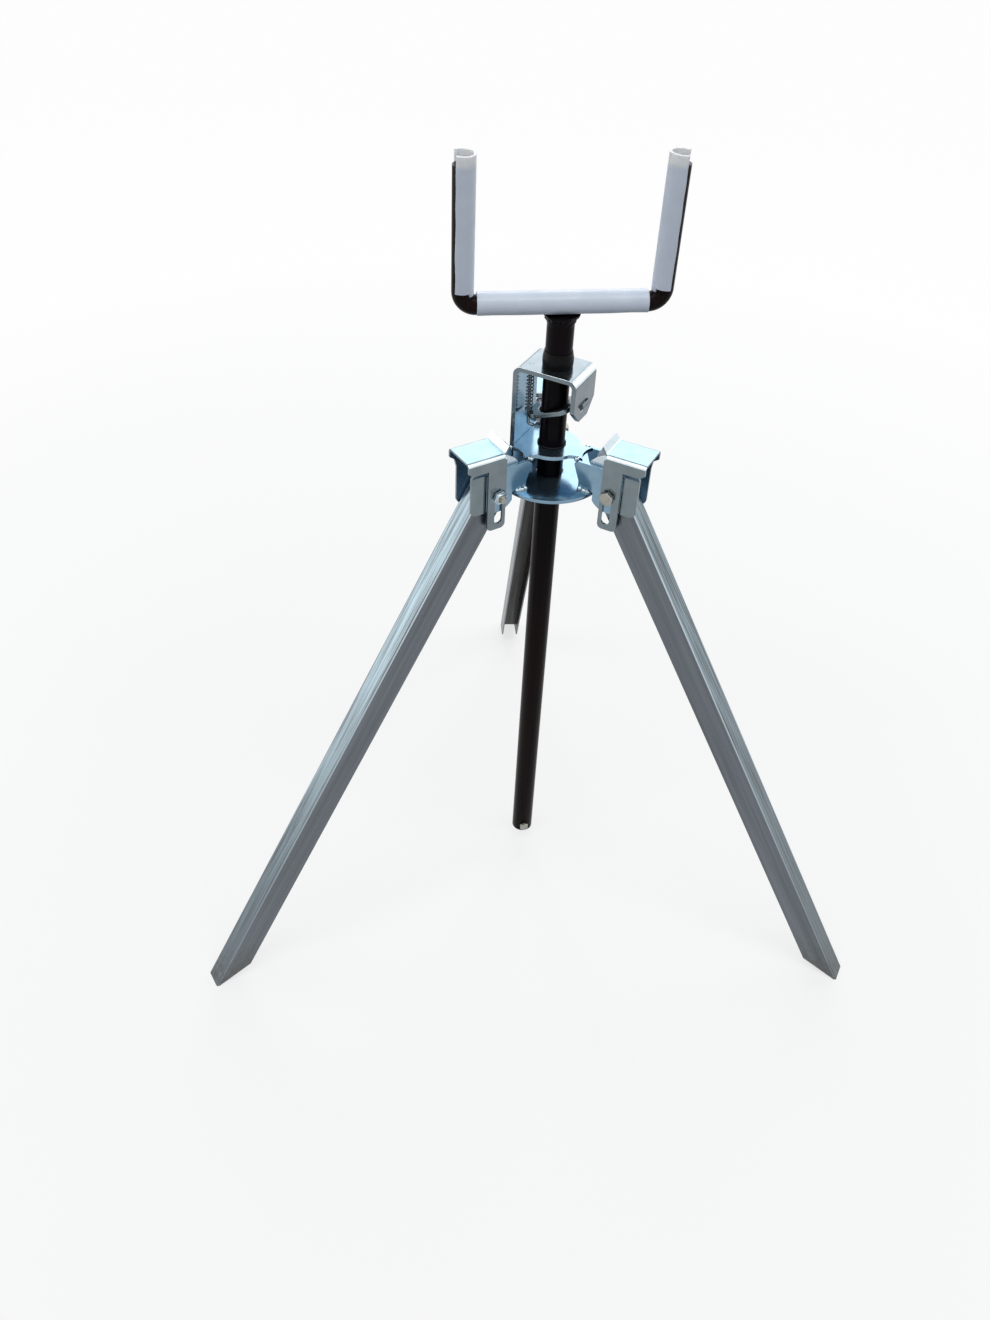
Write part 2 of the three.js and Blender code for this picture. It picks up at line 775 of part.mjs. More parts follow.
// Clutch plate lying flat, with its tongue pivot at the origin and its tail towards -X
function clutchPlate() {
  const half = clutchWidth / 2;
  const tail = -clutchHoleReach() - clutchTail;
  const tongueHalf = clutchTongueWidth / 2;
  const shoulderRound = half - tongueHalf - clutchShoulderFlat;
  const tailRound = half * clutchTailRoundness;
  const shape = roundedOutline([
    [clutchTongueLength, -tongueHalf],
    [clutchTongueLength, tongueHalf],
    [-clutchShoulder, tongueHalf],
    [-clutchShoulder, half, shoulderRound],
    [tail, half, tailRound],
    [tail, -half, tailRound],
    [-clutchShoulder, -half, shoulderRound],
    [-clutchShoulder, -tongueHalf],
  ]);
  const up = clutchThickness / 2;
  const plate = flatPlate(shape, -up, up);
  const grip = postDiameter + 2 * clutchGripGap + clutchThickness * Math.sin(clutchTilt);
  const holeRadius = grip / (2 * Math.cos(clutchTilt));
  const hole = uprightRod(holeRadius, -up - overcut, up + overcut).translate([-clutchHoleReach(), 0, 0]);
  const pinReach = windowReach + springReach;
  const slant = up * Math.tan(clutchTilt);
  const slotHalf = springPinDiameter / 2 + boltPlay;
  const far = pinReach / Math.cos(clutchTilt) + slant + slotHalf;
  const near = pinReach / Math.cos(clutchTilt - clutchRelease) - slant - slotHalf;
  const slot = block(
    [-far, -springAside - slotHalf, -up - overcut],
    [-near, -springAside + slotHalf, up + overcut],
  );
  return cut(plate, hole, slot);
}

// Stations of the compression spring, both ends straight for one wire diameter
function springStations(bottom, top) {
  const radius = (springDiameter - springWire) / 2;
  const low = bottom + springWire;
  const high = top - springWire;
  const steps = springCurls * curlSteps;
  const stations = [new THREE.Vector3(radius, 0, bottom)];
  for (let i = 0; i <= steps; i += 1) {
    const angle = (2 * Math.PI * i) / curlSteps;
    const height = low + ((high - low) * i) / steps;
    stations.push(new THREE.Vector3(radius * Math.cos(angle), radius * Math.sin(angle), height));
  }
  stations.push(new THREE.Vector3(radius, 0, top));
  return stations;
}

// Least clear distance between neighbouring curls of a wire
function leastSelfGap(stations, wire) {
  let least = Infinity;
  stations.forEach((point, i) => {
    for (let j = i + curlSteps / 2; j < stations.length; j += 1) {
      least = Math.min(least, point.distanceTo(stations[j]) - wire);
    }
  });
  return least;
}

// Compression spring between the bracket's roof and the tilted clutch plate
function clutchSpring() {
  const drop = (windowReach + springReach - springDiameter / 2) * Math.tan(clutchTilt);
  const plateTop = windowHeight - drop + clutchThickness / 2 / Math.cos(clutchTilt);
  const stations = springStations(plateTop + seatGap, bracketTop - bracketThickness - seatGap);
  console.log(`clutch_spring least self gap ${leastSelfGap(stations, springWire).toFixed(2)} mm`);
  return bentBar(stations, springWire / 2, curlSides);
}

// Pin through the spring, fixed in the bracket's roof and hooked below the plate
function springPin() {
  const drop = (windowReach + springReach) * Math.tan(clutchTilt);
  const bottom = windowHeight - drop - springPinDrop;
  const stations = [new THREE.Vector3(0, 0, bracketTop - seatGap)];
  for (let i = 0; i <= bendSteps; i += 1) {
    const angle = (Math.PI / 2) * (i / bendSteps);
    const x = springPinHook * (1 - Math.cos(angle));
    const z = bottom + springPinHook * (1 - Math.sin(angle));
    stations.push(new THREE.Vector3(x, 0, z));
  }
  stations.push(new THREE.Vector3(2 * springPinHook, 0, bottom));
  return bentBar(stations, springPinDiameter / 2, pinSides);
}

// Hub with its plates and post guides
const stand = new THREE.Group();
const lowBush = postBush(upperPlateTop, plateThickness, bushLowCollarHeight, bushLowCollar);
const highBush = postBush(bracketTop, bracketThickness, bushHighCollarHeight, bushHighCollar);
stand.add(
  piece('lower_disc', lowerDisc(), zinc),
  piece('upper_plate', upperPlate(), zinc),
  piece('post_bush_lower', lowBush, blackPlastic),
  piece('post_bush_upper', highBush, blackPlastic),
);

// Arms, pivots, legs and lock caps in the three directions
for (const [place, direction] of Object.entries(legDirections)) {
  const leg = piece(`leg_${place}`, legChannel(), galvanised);
  leg.position.set(pivotRadius, 0, pivotHeight);
  leg.rotation.y = -legLean;
  // The two plates beside the bracket stand upright to clear it
  const boltLean = place === 'left' ? 0 : armInnerLean;
  const nutLean = place === 'rear' ? 0 : armInnerLean;
  const cap = piece(`lock_cap_${place}`, lockCap(), zinc);
  cap.position.set(pivotRadius, 0, pivotHeight);
  stand.add(facing(
    direction,
    piece(`arm_plate_${place}_bolt_side`, armPlate(-1, boltLean), zinc),
    piece(`arm_plate_${place}_nut_side`, armPlate(1, nutLean), zinc),
    piece(`pivot_bolt_${place}`, pivotBolt(), yellowZinc),
    piece(`pivot_nut_${place}`, pivotNut(), zinc),
    piece(`pivot_sleeve_${place}`, pivotSleeve(), zinc),
    leg,
    cap,
  ));
}

// Post clutch
const clutch = piece('clutch_plate', clutchPlate(), zinc);
clutch.position.set(windowReach, 0, windowHeight);
clutch.rotation.y = -clutchTilt;
const spring = piece('clutch_spring', clutchSpring(), springSteel);
spring.position.set(-springReach, -springAside, 0);
const pin = piece('spring_pin', springPin(), zinc);
pin.position.set(-springReach, -springAside, 0);
const bracket = piece('clutch_bracket', clutchBracket(), zinc);
stand.add(facing(legDirections.right, bracket, clutch, spring, pin));

// Post with its fork and stop bolt, swivelled a little in its guides
stand.add(facing(
  postTurn,
  piece('post_tube', postTube(), blackSteel),
  piece('fork_bar', forkBar(), blackSteel),
  piece('fork_sleeve_left', uprightSleeve(-1), whitePlastic),
  piece('fork_sleeve_right', uprightSleeve(1), whitePlastic),
  piece('fork_sleeve_crossbar', crossbarSleeve(), whitePlastic),
  piece('stop_bolt', stopBolt(), yellowZinc),
  piece('stop_nut', stopNut(), zinc),
));

// Stand moved so that the origin lies under the middle of its box
stand.updateMatrixWorld(true);
const middle = new THREE.Box3().setFromObject(stand, true).getCenter(new THREE.Vector3());
stand.position.set(-middle.x, -middle.y, 0);

export default stand;
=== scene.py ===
import math

import bmesh
import bpy
from mathutils import Matrix, Vector, noise


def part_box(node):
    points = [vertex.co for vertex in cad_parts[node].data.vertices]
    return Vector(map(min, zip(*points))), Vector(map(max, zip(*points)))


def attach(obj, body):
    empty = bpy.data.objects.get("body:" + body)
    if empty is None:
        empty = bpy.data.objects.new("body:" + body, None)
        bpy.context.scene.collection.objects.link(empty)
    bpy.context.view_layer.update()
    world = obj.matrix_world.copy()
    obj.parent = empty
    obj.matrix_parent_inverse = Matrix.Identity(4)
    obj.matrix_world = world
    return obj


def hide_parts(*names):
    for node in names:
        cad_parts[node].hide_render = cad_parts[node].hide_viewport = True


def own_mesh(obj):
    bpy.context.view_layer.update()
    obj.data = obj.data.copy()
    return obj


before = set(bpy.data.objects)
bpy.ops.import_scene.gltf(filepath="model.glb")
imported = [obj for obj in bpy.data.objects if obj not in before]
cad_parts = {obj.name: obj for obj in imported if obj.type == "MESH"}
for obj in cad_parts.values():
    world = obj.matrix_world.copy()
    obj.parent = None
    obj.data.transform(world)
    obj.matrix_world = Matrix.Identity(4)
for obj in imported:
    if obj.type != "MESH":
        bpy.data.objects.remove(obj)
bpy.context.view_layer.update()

mm = 0.001
fullTurn = 2 * math.pi
print("frame loaded:", len(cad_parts), "nodes")

# lines of the stand that everything else hangs on
discLow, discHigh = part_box("lower_disc")
postLow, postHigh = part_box("post_tube")
barLow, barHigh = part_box("fork_bar")
postAxis = Vector(((discLow.x + discHigh.x) / 2, (discLow.y + discHigh.y) / 2, 0))
directions = {"rear": math.radians(90), "left": math.radians(210), "right": math.radians(330)}
legLean = math.radians(31)
pivotOut = 94.5 * mm  # from the post's axis
pivotRise = 3.5 * mm  # above the disc
pivotHeight = discHigh.z + pivotRise
postTurn = math.radians(5)  # the post stands swivelled a little in its guides
postPlace = Matrix.Translation(postAxis) @ Matrix.Rotation(postTurn, 4, "Z")


def facing(direction):
    # local x runs out from the post, local y across the arm, z stays up
    return Matrix.Translation(postAxis) @ Matrix.Rotation(direction, 4, "Z")


pivotPlaces = {
    place: facing(direction) @ Matrix.Translation((pivotOut, 0, pivotHeight))
    for place, direction in directions.items()
}
legPlaces = {place: pivot @ Matrix.Rotation(-legLean, 4, "Y") for place, pivot in pivotPlaces.items()}

# camera at the photo's viewing angle, its lens from the focal length in pixels of the long side
camera = {
    "place": (-137.2 * mm, -1226.6 * mm, 1539.8 * mm),  # from the post's foot
    "pitch": math.radians(42.36),
    "roll": math.radians(-2.58),
    "yaw": math.radians(3.57),
    "focalPixels": 1087.6,
    "photoHeight": 1320,
    "sensor": 36,
    "farthest": 60,
}


def makeCamera():
    data = bpy.data.cameras.new("photoCamera")
    data.sensor_width = camera["sensor"]
    data.lens = camera["focalPixels"] / camera["photoHeight"] * camera["sensor"]
    data.clip_end = camera["farthest"]
    eye = bpy.data.objects.new("photoCamera", data)
    bpy.context.scene.collection.objects.link(eye)
    turn = Matrix.Rotation(-camera["yaw"], 4, "Z")
    turn = turn @ Matrix.Rotation(math.pi / 2 - camera["pitch"], 4, "X")
    turn = turn @ Matrix.Rotation(-camera["roll"], 4, "Z")
    eye.matrix_world = Matrix.Translation(Vector(camera["place"]) + postAxis) @ turn
    bpy.context.scene.camera = eye


makeCamera()
print("camera placed")


# material helpers: patterns read object coordinates, which are metres here
def startFinish(name, metallic, specular=0.5):
    finish = bpy.data.materials.new(name)
    finish.use_nodes = True
    tree = finish.node_tree
    shader = tree.nodes["Principled BSDF"]
    shader.inputs["Metallic"].default_value = metallic
    shader.inputs["Specular IOR Level"].default_value = specular
    place = tree.nodes.new("ShaderNodeTexCoord").outputs["Object"]
    return finish, tree, shader, place


def turned(tree, place, turn, stretch):
    # the pattern's own axes, stretched along each by the number given
    node = tree.nodes.new("ShaderNodeMapping")
    node.vector_type = "TEXTURE"
    node.inputs["Rotation"].default_value = turn
    node.inputs["Scale"].default_value = stretch
    tree.links.new(place, node.inputs["Vector"])
    return node.outputs["Vector"]


def grain(tree, place, scale, detail=3, roughness=0.55):
    node = tree.nodes.new("ShaderNodeTexNoise")
    node.inputs["Scale"].default_value = scale
    node.inputs["Detail"].default_value = detail
    node.inputs["Roughness"].default_value = roughness
    tree.links.new(place, node.inputs["Vector"])
    return node.outputs["Fac"]


def spread(tree, value, fromLow, fromHigh, toLow, toHigh):
    node = tree.nodes.new("ShaderNodeMapRange")
    for socket, number in zip(list(node.inputs)[1:5], (fromLow, fromHigh, toLow, toHigh)):
        socket.default_value = number
    tree.links.new(value, node.inputs[0])
    return node.outputs[0]


def patches(tree, place, scale, low, high, detail=3, roughness=0.55, ends=(0, 1)):
    # grain whose range from low to high is spread between the ends
    return spread(tree, grain(tree, place, scale, detail, roughness), low, high, *ends)


def blendColours(tree, share, first, second):
    node = tree.nodes.new("ShaderNodeMix")
    node.data_type = "RGBA"
    tree.links.new(share, node.inputs[0])
    for socket, colour in ((node.inputs[6], first), (node.inputs[7], second)):
        if isinstance(colour, tuple):
            socket.default_value = (*colour, 1)
        else:
            tree.links.new(colour, socket)
    return node.outputs[2]


def multiply(tree, first, second):
    node = tree.nodes.new("ShaderNodeMath")
    node.operation = "MULTIPLY"
    tree.links.new(first, node.inputs[0])
    tree.links.new(second, node.inputs[1])
    return node.outputs[0]


def bumpUp(tree, shader, height, strength, distance):
    node = tree.nodes.new("ShaderNodeBump")
    node.inputs["Strength"].default_value = strength
    node.inputs["Distance"].default_value = distance
    tree.links.new(height, node.inputs["Height"])
    tree.links.new(node.outputs["Normal"], shader.inputs["Normal"])


def heightOf(tree, place):
    node = tree.nodes.new("ShaderNodeSeparateXYZ")
    tree.links.new(place, node.inputs[0])
    return node.outputs["Z"]


def attribute(tree, name):
    node = tree.nodes.new("ShaderNodeAttribute")
    node.attribute_name = name
    return node.outputs["Fac"]


# zinc plate: cloudy tint, faint stains, fine grain
zincLooks = {
    "zincPlated": {  # lock caps, clutch plate, stop nut, pin and spacers
        "light": (0.205, 0.245, 0.265), "dark": (0.170, 0.208, 0.228), "stain": (0.13, 0.155, 0.165),
        "rough": (0.20, 0.26), "bump": 0.010,
    },
    "skyBlueZinc": {  # hub plates and arms, their blue a painted sky reflection
        "light": (0.235, 0.360, 0.460), "dark": (0.188, 0.295, 0.388), "stain": (0.15, 0.23, 0.30),
        "rough": (0.16, 0.22), "bump": 0.010,
    },
    "plateZinc": {  # outside of the clutch's bracket
        "light": (0.180, 0.215, 0.240), "dark": (0.148, 0.180, 0.205), "stain": (0.11, 0.135, 0.155),
        "rough": (0.16, 0.22), "bump": 0.010,
    },
    "shadedInnerZinc": {  # inner sides of the caps, rougher, with painted shade and a painted blue reflection
        "light": (0.150, 0.270, 0.380), "dark": (0.085, 0.180, 0.275), "stain": (0.05, 0.10, 0.16),
        "rough": (0.22, 0.32), "bump": 0.010, "metallic": 0.55,
    },
    "litRoofZinc": {  # tops of the caps: painted light, paler and bluer than their sides
        "light": (0.245, 0.370, 0.430), "dark": (0.205, 0.315, 0.372), "stain": (0.16, 0.25, 0.30),
        "rough": (0.20, 0.27), "bump": 0.010,
    },
    "bendHighlightZinc": {  # bends and upper edges: painted highlight
        "light": (0.80, 0.90, 0.94), "dark": (0.66, 0.78, 0.84), "stain": (0.50, 0.58, 0.62),
        "rough": (0.18, 0.26), "bump": 0.010,
    },
    "weldZinc": {  # weld beads and pivot nuts
        "light": (0.50, 0.58, 0.63), "dark": (0.30, 0.37, 0.41), "stain": (0.16, 0.18, 0.20),
        "rough": (0.14, 0.26), "bump": 0.12,
    },
    "yellowZinc": {  # bolts
        "light": (0.42, 0.42, 0.38), "dark": (0.30, 0.30, 0.27), "stain": (0.33, 0.28, 0.20),
        "rough": (0.20, 0.32), "bump": 0.05,
    },
    "springSteel": {
        "light": (0.055, 0.065, 0.075), "dark": (0.028, 0.034, 0.040), "stain": (0.02, 0.02, 0.02),
        "rough": (0.25, 0.40), "bump": 0.03,
    },
}
zincMetal = 0.95
bumpDepth = 0.3 * mm


def zincFinish(name):
    look = zincLooks[name]
    finish, tree, shader, place = startFinish(name, look.get("metallic", zincMetal))
    cloud = patches(tree, place, scale=46, detail=4, low=0.32, high=0.68)
    stain = patches(tree, place, scale=24, detail=5, roughness=0.65, low=0.60, high=0.80, ends=(0, 0.45))
    colour = blendColours(tree, cloud, look["light"], look["dark"])
    colour = blendColours(tree, stain, colour, look["stain"])
    tree.links.new(colour, shader.inputs["Base Color"])
    rough = patches(tree, place, scale=180, roughness=0.6, low=0.30, high=0.70, ends=look["rough"])
    tree.links.new(rough, shader.inputs["Roughness"])
    fine = grain(tree, place, scale=700, detail=2, roughness=0.6)
    bumpUp(tree, shader, fine, look["bump"], bumpDepth)
    return finish


# legs: flanges in painted shade, web painted bright with a reflection over streaks along its length,
# painted brown shade inside the channel
# each From and To is a height above the floor
legLook = {
    # flange colours are painted shade, web colours a painted reflection, bend a painted highlight
    "flange": (0.165, 0.186, 0.205), "flangeDark": (0.118, 0.134, 0.148),
    "web": (0.33, 0.43, 0.48), "webDark": (0.110, 0.128, 0.142), "bend": (0.52, 0.60, 0.65),
    # painted shade deep in the channel, painted light in its upper part
    "hollow": (0.050, 0.044, 0.039), "hollowTop": (0.78, 0.84, 0.88),
    "clearFrom": 0.66, "clearTo": 0.75,
    # flanges turn paler at the very top, under the cap
    "paleTop": (0.62, 0.69, 0.74), "paleFrom": 0.765, "paleTo": 0.785,
    # soil is dirt near the ground; from fadeFrom to fadeTo the web's painted reflection grows to full
    "soil": (0.10, 0.092, 0.085), "soilTop": 70 * mm, "fadeFrom": 0.12, "fadeTo": 0.62, "leastSheen": 0.35,
    "rough": (0.24, 0.40), "stretch": 45, "bump": 0.10,
    "metallic": (zincMetal, 0.1), "specular": (0.5, 0.08),  # outside, then inside the channel under its painted shade
}


def legFinish(name, turn):
    finish, tree, shader, place = startFinish(name, zincMetal)
    along = turned(tree, place, turn, (1, 1, legLook["stretch"]))
    broad = patches(tree, along, scale=110, low=0.34, high=0.66)
    drawn = patches(tree, along, scale=330, detail=4, roughness=0.6, low=0.36, high=0.64)
    # painted shade on the flanges
    shadedFlange = blendColours(tree, broad, legLook["flange"], legLook["flangeDark"])
    high = heightOf(tree, place)
    paleTop = spread(tree, high, legLook["paleFrom"], legLook["paleTo"], 0, 1)  # under the cap
    shadedFlange = blendColours(tree, paleTop, shadedFlange, legLook["paleTop"])
    # painted reflection: the web and its bend grow brighter higher up
    upperSheen = spread(tree, high, legLook["fadeFrom"], legLook["fadeTo"], legLook["leastSheen"], 1)
    # painted reflection on the web, over drawn streaks
    bright = blendColours(tree, multiply(tree, drawn, upperSheen), legLook["webDark"], legLook["web"])
    colour = blendColours(tree, attribute(tree, "web"), shadedFlange, bright)
    # painted highlight along the web's bends
    bent = multiply(tree, attribute(tree, "bend"), upperSheen)
    colour = blendColours(tree, bent, colour, legLook["bend"])
    inside = attribute(tree, "hollow")
    # painted shade inside the channel, clearing towards the top
    clear = spread(tree, high, legLook["clearFrom"], legLook["clearTo"], 0, 1)
    shadedInside = multiply(tree, inside, spread(tree, clear, 0, 1, 1, 0))
    # painted light: the channel's inside pale, with the painted shade laid over it lower down
    colour = blendColours(tree, inside, colour, legLook["hollowTop"])
    colour = blendColours(tree, shadedInside, colour, legLook["hollow"])
    tree.links.new(spread(tree, inside, 0, 1, *legLook["metallic"]), shader.inputs["Metallic"])
    tree.links.new(spread(tree, shadedInside, 0, 1, *legLook["specular"]), shader.inputs["Specular IOR Level"])
    low = spread(tree, high, 0, legLook["soilTop"], 1, 0)  # soil that creeps up from the ground
    crumbs = patches(tree, place, scale=90, detail=5, roughness=0.7, low=0.35, high=0.62, ends=(0, 0.9))
    colour = blendColours(tree, multiply(tree, low, crumbs), colour, legLook["soil"])
    tree.links.new(colour, shader.inputs["Base Color"])
    tree.links.new(spread(tree, drawn, 0, 1, *legLook["rough"]), shader.inputs["Roughness"])
    fine = grain(tree, along, scale=600, detail=2, roughness=0.6)
    bumpUp(tree, shader, fine, legLook["bump"], bumpDepth)
    return finish


blackLook = {
    "black": (0.0025, 0.002, 0.004), "brown": (0.020, 0.009, 0.0072), "rough": (0.16, 0.34),
    "brownFrom": 0.30, "brownTo": 0.80, "leastBrown": 0.25, "specular": 0.05, "stretch": 40, "bump": 0.10,
}


def blackSteelFinish(name, withBrown):
    # lacquer over drawn tube, browner where it is bare towards the foot
    finish, tree, shader, place = startFinish(name, 0.0, blackLook["specular"])
    along = turned(tree, place, (0, 0, 0), (1, 1, blackLook["stretch"]))
    streak = patches(tree, along, scale=220, detail=4, roughness=0.6, low=0.30, high=0.70)
    share = streak
    if withBrown:
        low, high = blackLook["brownFrom"], blackLook["brownTo"]
        lower = spread(tree, heightOf(tree, place), low, high, 1, blackLook["leastBrown"])
        share = multiply(tree, streak, lower)
    colour = blendColours(tree, share, blackLook["black"], blackLook["brown"])
    tree.links.new(colour, shader.inputs["Base Color"])
    smear = patches(tree, along, scale=90, low=0.3, high=0.7, ends=blackLook["rough"])
    tree.links.new(smear, shader.inputs["Roughness"])
    bumpUp(tree, shader, grain(tree, along, scale=500, detail=2), blackLook["bump"], bumpDepth)
    return finish


plasticLook = {
    "white": (0.70, 0.77, 0.88), "shade": (0.64, 0.71, 0.82), "hollow": (0.90, 0.93, 0.97),
    "scuff": (0.55, 0.58, 0.64), "rough": (0.28, 0.42), "specular": 0.45, "fade": 3 * mm,
    "milk": (0.15, 0.9), "depth": 4 * mm, "scatter": (1.0, 1.0, 1.2), "bump": 0.12, "bumpDepth": 0.4 * mm,
}


def whitePlasticFinish():
    finish, tree, shader, place = startFinish("whitePlastic", 0.0, plasticLook["specular"])
    shader.inputs["Subsurface Radius"].default_value = plasticLook["scatter"]
    shader.inputs["Subsurface Scale"].default_value = plasticLook["depth"]
    haze = patches(tree, place, scale=30, detail=4, low=0.35, high=0.70)
    scuff = patches(tree, place, scale=160, detail=5, roughness=0.7, low=0.62, high=0.80, ends=(0, 0.5))
    colour = blendColours(tree, haze, plasticLook["white"], plasticLook["shade"])
    colour = blendColours(tree, scuff, colour, plasticLook["scuff"])
    # milky tube: painted paler past the bar's end, as light through the wall where nothing dark lies behind
    # it; it scatters more there too
    low, high = barHigh.z - plasticLook["fade"], barHigh.z + plasticLook["fade"]
    over = spread(tree, heightOf(tree, place), low, high, 0, 1)
    colour = blendColours(tree, over, colour, plasticLook["hollow"])
    tree.links.new(spread(tree, over, 0, 1, *plasticLook["milk"]), shader.inputs["Subsurface Weight"])
    tree.links.new(colour, shader.inputs["Base Color"])
    rough = patches(tree, place, scale=60, low=0.3, high=0.7, ends=plasticLook["rough"])
    tree.links.new(rough, shader.inputs["Roughness"])
    bumpUp(tree, shader, grain(tree, place, scale=220), plasticLook["bump"], plasticLook["bumpDepth"])
    return finish


bushLook = {
    "dark": (0.003, 0.003, 0.004), "worn": (0.006, 0.0055, 0.006), "rough": (0.32, 0.48), "specular": 0.10,
    "bump": 0.15, "bumpDepth": 0.2 * mm,
}


def blackPlasticFinish():
    finish, tree, shader, place = startFinish("blackPlastic", 0.0, bushLook["specular"])
    haze = patches(tree, place, scale=120, detail=4, low=0.35, high=0.70)
    colour = blendColours(tree, haze, bushLook["dark"], bushLook["worn"])
    tree.links.new(colour, shader.inputs["Base Color"])
    tree.links.new(spread(tree, haze, 0, 1, *bushLook["rough"]), shader.inputs["Roughness"])
    bumpUp(tree, shader, grain(tree, place, scale=900, detail=2), bushLook["bump"], bushLook["bumpDepth"])
    return finish


zincPlated = zincFinish("zincPlated")
skyBlueZinc = zincFinish("skyBlueZinc")
plateZinc = zincFinish("plateZinc")
shadedInnerZinc = zincFinish("shadedInnerZinc")
litRoofZinc = zincFinish("litRoofZinc")
bendHighlightZinc = zincFinish("bendHighlightZinc")
weldZinc = zincFinish("weldZinc")
yellowZinc = zincFinish("yellowZinc")
springSteel = zincFinish("springSteel")
legFinishes = {place: legFinish("galvanised_" + place, legPlaces[place].to_euler()) for place in directions}
lacqueredPost = blackSteelFinish("lacqueredPost", True)
lacqueredBar = blackSteelFinish("lacqueredBar", False)
whitePlastic = whitePlasticFinish()
blackPlastic = blackPlasticFinish()
print("finishes mixed")


# mesh helpers, with the angles past which an edge stays sharp
creases = {"turned": math.radians(38), "cut": math.radians(40), "drawn": math.radians(50)}
softening = {
    "merge": 0.002 * mm, "flat": math.radians(0.6), "sharp": math.radians(33), "segments": 3, "weight": 80,
}


def meshFrom(build, name):
    mesh = bpy.data.meshes.new(name)
    build.to_mesh(mesh)
    build.free()
    return mesh


def addPiece(name, mesh, finish, body, slotName, *nodes):
    mesh.name = name
    mesh.materials.clear()
    mesh.materials.append(finish)
    piece = bpy.data.objects.new(name, mesh)
    bpy.context.scene.collection.objects.link(piece)
    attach(piece, body)
    if nodes:
        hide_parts(*nodes)
    return piece


def plainMesh(worker):
    # what the worker's modifiers make, as a mesh of its own
    bpy.context.view_layer.update()
    graph = bpy.context.evaluated_depsgraph_get()
    made = bpy.data.meshes.new_from_object(worker.evaluated_get(graph), depsgraph=graph)
    worker.modifiers.clear()
    old = worker.data
    bpy.data.objects.remove(worker)
    bpy.data.meshes.remove(old)
    return made


def workerFor(mesh):
    worker = bpy.data.objects.new("worker", mesh)
    bpy.context.scene.collection.objects.link(worker)
    return worker


def softEdged(node, edge):
    # the CAD solid with its flat faces joined and its sharp edges broken
    build = bmesh.new()
    build.from_mesh(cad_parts[node].data)
    bmesh.ops.remove_doubles(build, verts=build.verts, dist=softening["merge"])
    bmesh.ops.dissolve_limit(build, angle_limit=softening["flat"], verts=build.verts, edges=build.edges)
    worker = workerFor(meshFrom(build, node))
    worker.data.shade_smooth()
    broken = worker.modifiers.new("edges", "BEVEL")
    broken.width = edge
    broken.segments = softening["segments"]
    broken.limit_method = "ANGLE"
    broken.angle_limit = softening["sharp"]
    broken.use_clamp_overlap = True
    flat = worker.modifiers.new("flats", "WEIGHTED_NORMAL")
    flat.weight = softening["weight"]
    return plainMesh(worker)


def ringSolid(levels, sides, loop=False):
    # rings of radius and height round z, either of which may depend on the angle
    build = bmesh.new()
    rings = []
    for radius, height in levels:
        if radius == 0:
            rings.append([build.verts.new((0, 0, height))])
            continue
        ring = []
        for step in range(sides):
            angle = fullTurn * step / sides
            out = radius(angle) if callable(radius) else radius
            up = height(angle) if callable(height) else height
            ring.append(build.verts.new((out * math.cos(angle), out * math.sin(angle), up)))
        rings.append(ring)
    pairs = list(zip(rings, rings[1:])) + ([(rings[-1], rings[0])] if loop else [])
    for low, high in pairs:
        for step in range(sides):
            after = (step + 1) % sides
            if len(low) == 1:
                build.faces.new((low[0], high[after], high[step]))
            elif len(high) == 1:
                build.faces.new((low[step], low[after], high[0]))
            else:
                build.faces.new((low[step], low[after], high[after], high[step]))
    bmesh.ops.recalc_face_normals(build, faces=build.faces)
    mesh = meshFrom(build, "rings")
    mesh.shade_smooth()
    mesh.set_sharp_from_angle(angle=creases["turned"])
    return mesh


def joinedMesh(*meshes):
    build = bmesh.new()
    for mesh in meshes:
        build.from_mesh(mesh)
    joined = meshFrom(build, "joined")
    for mesh in meshes:
        bpy.data.meshes.remove(mesh)
    return joined


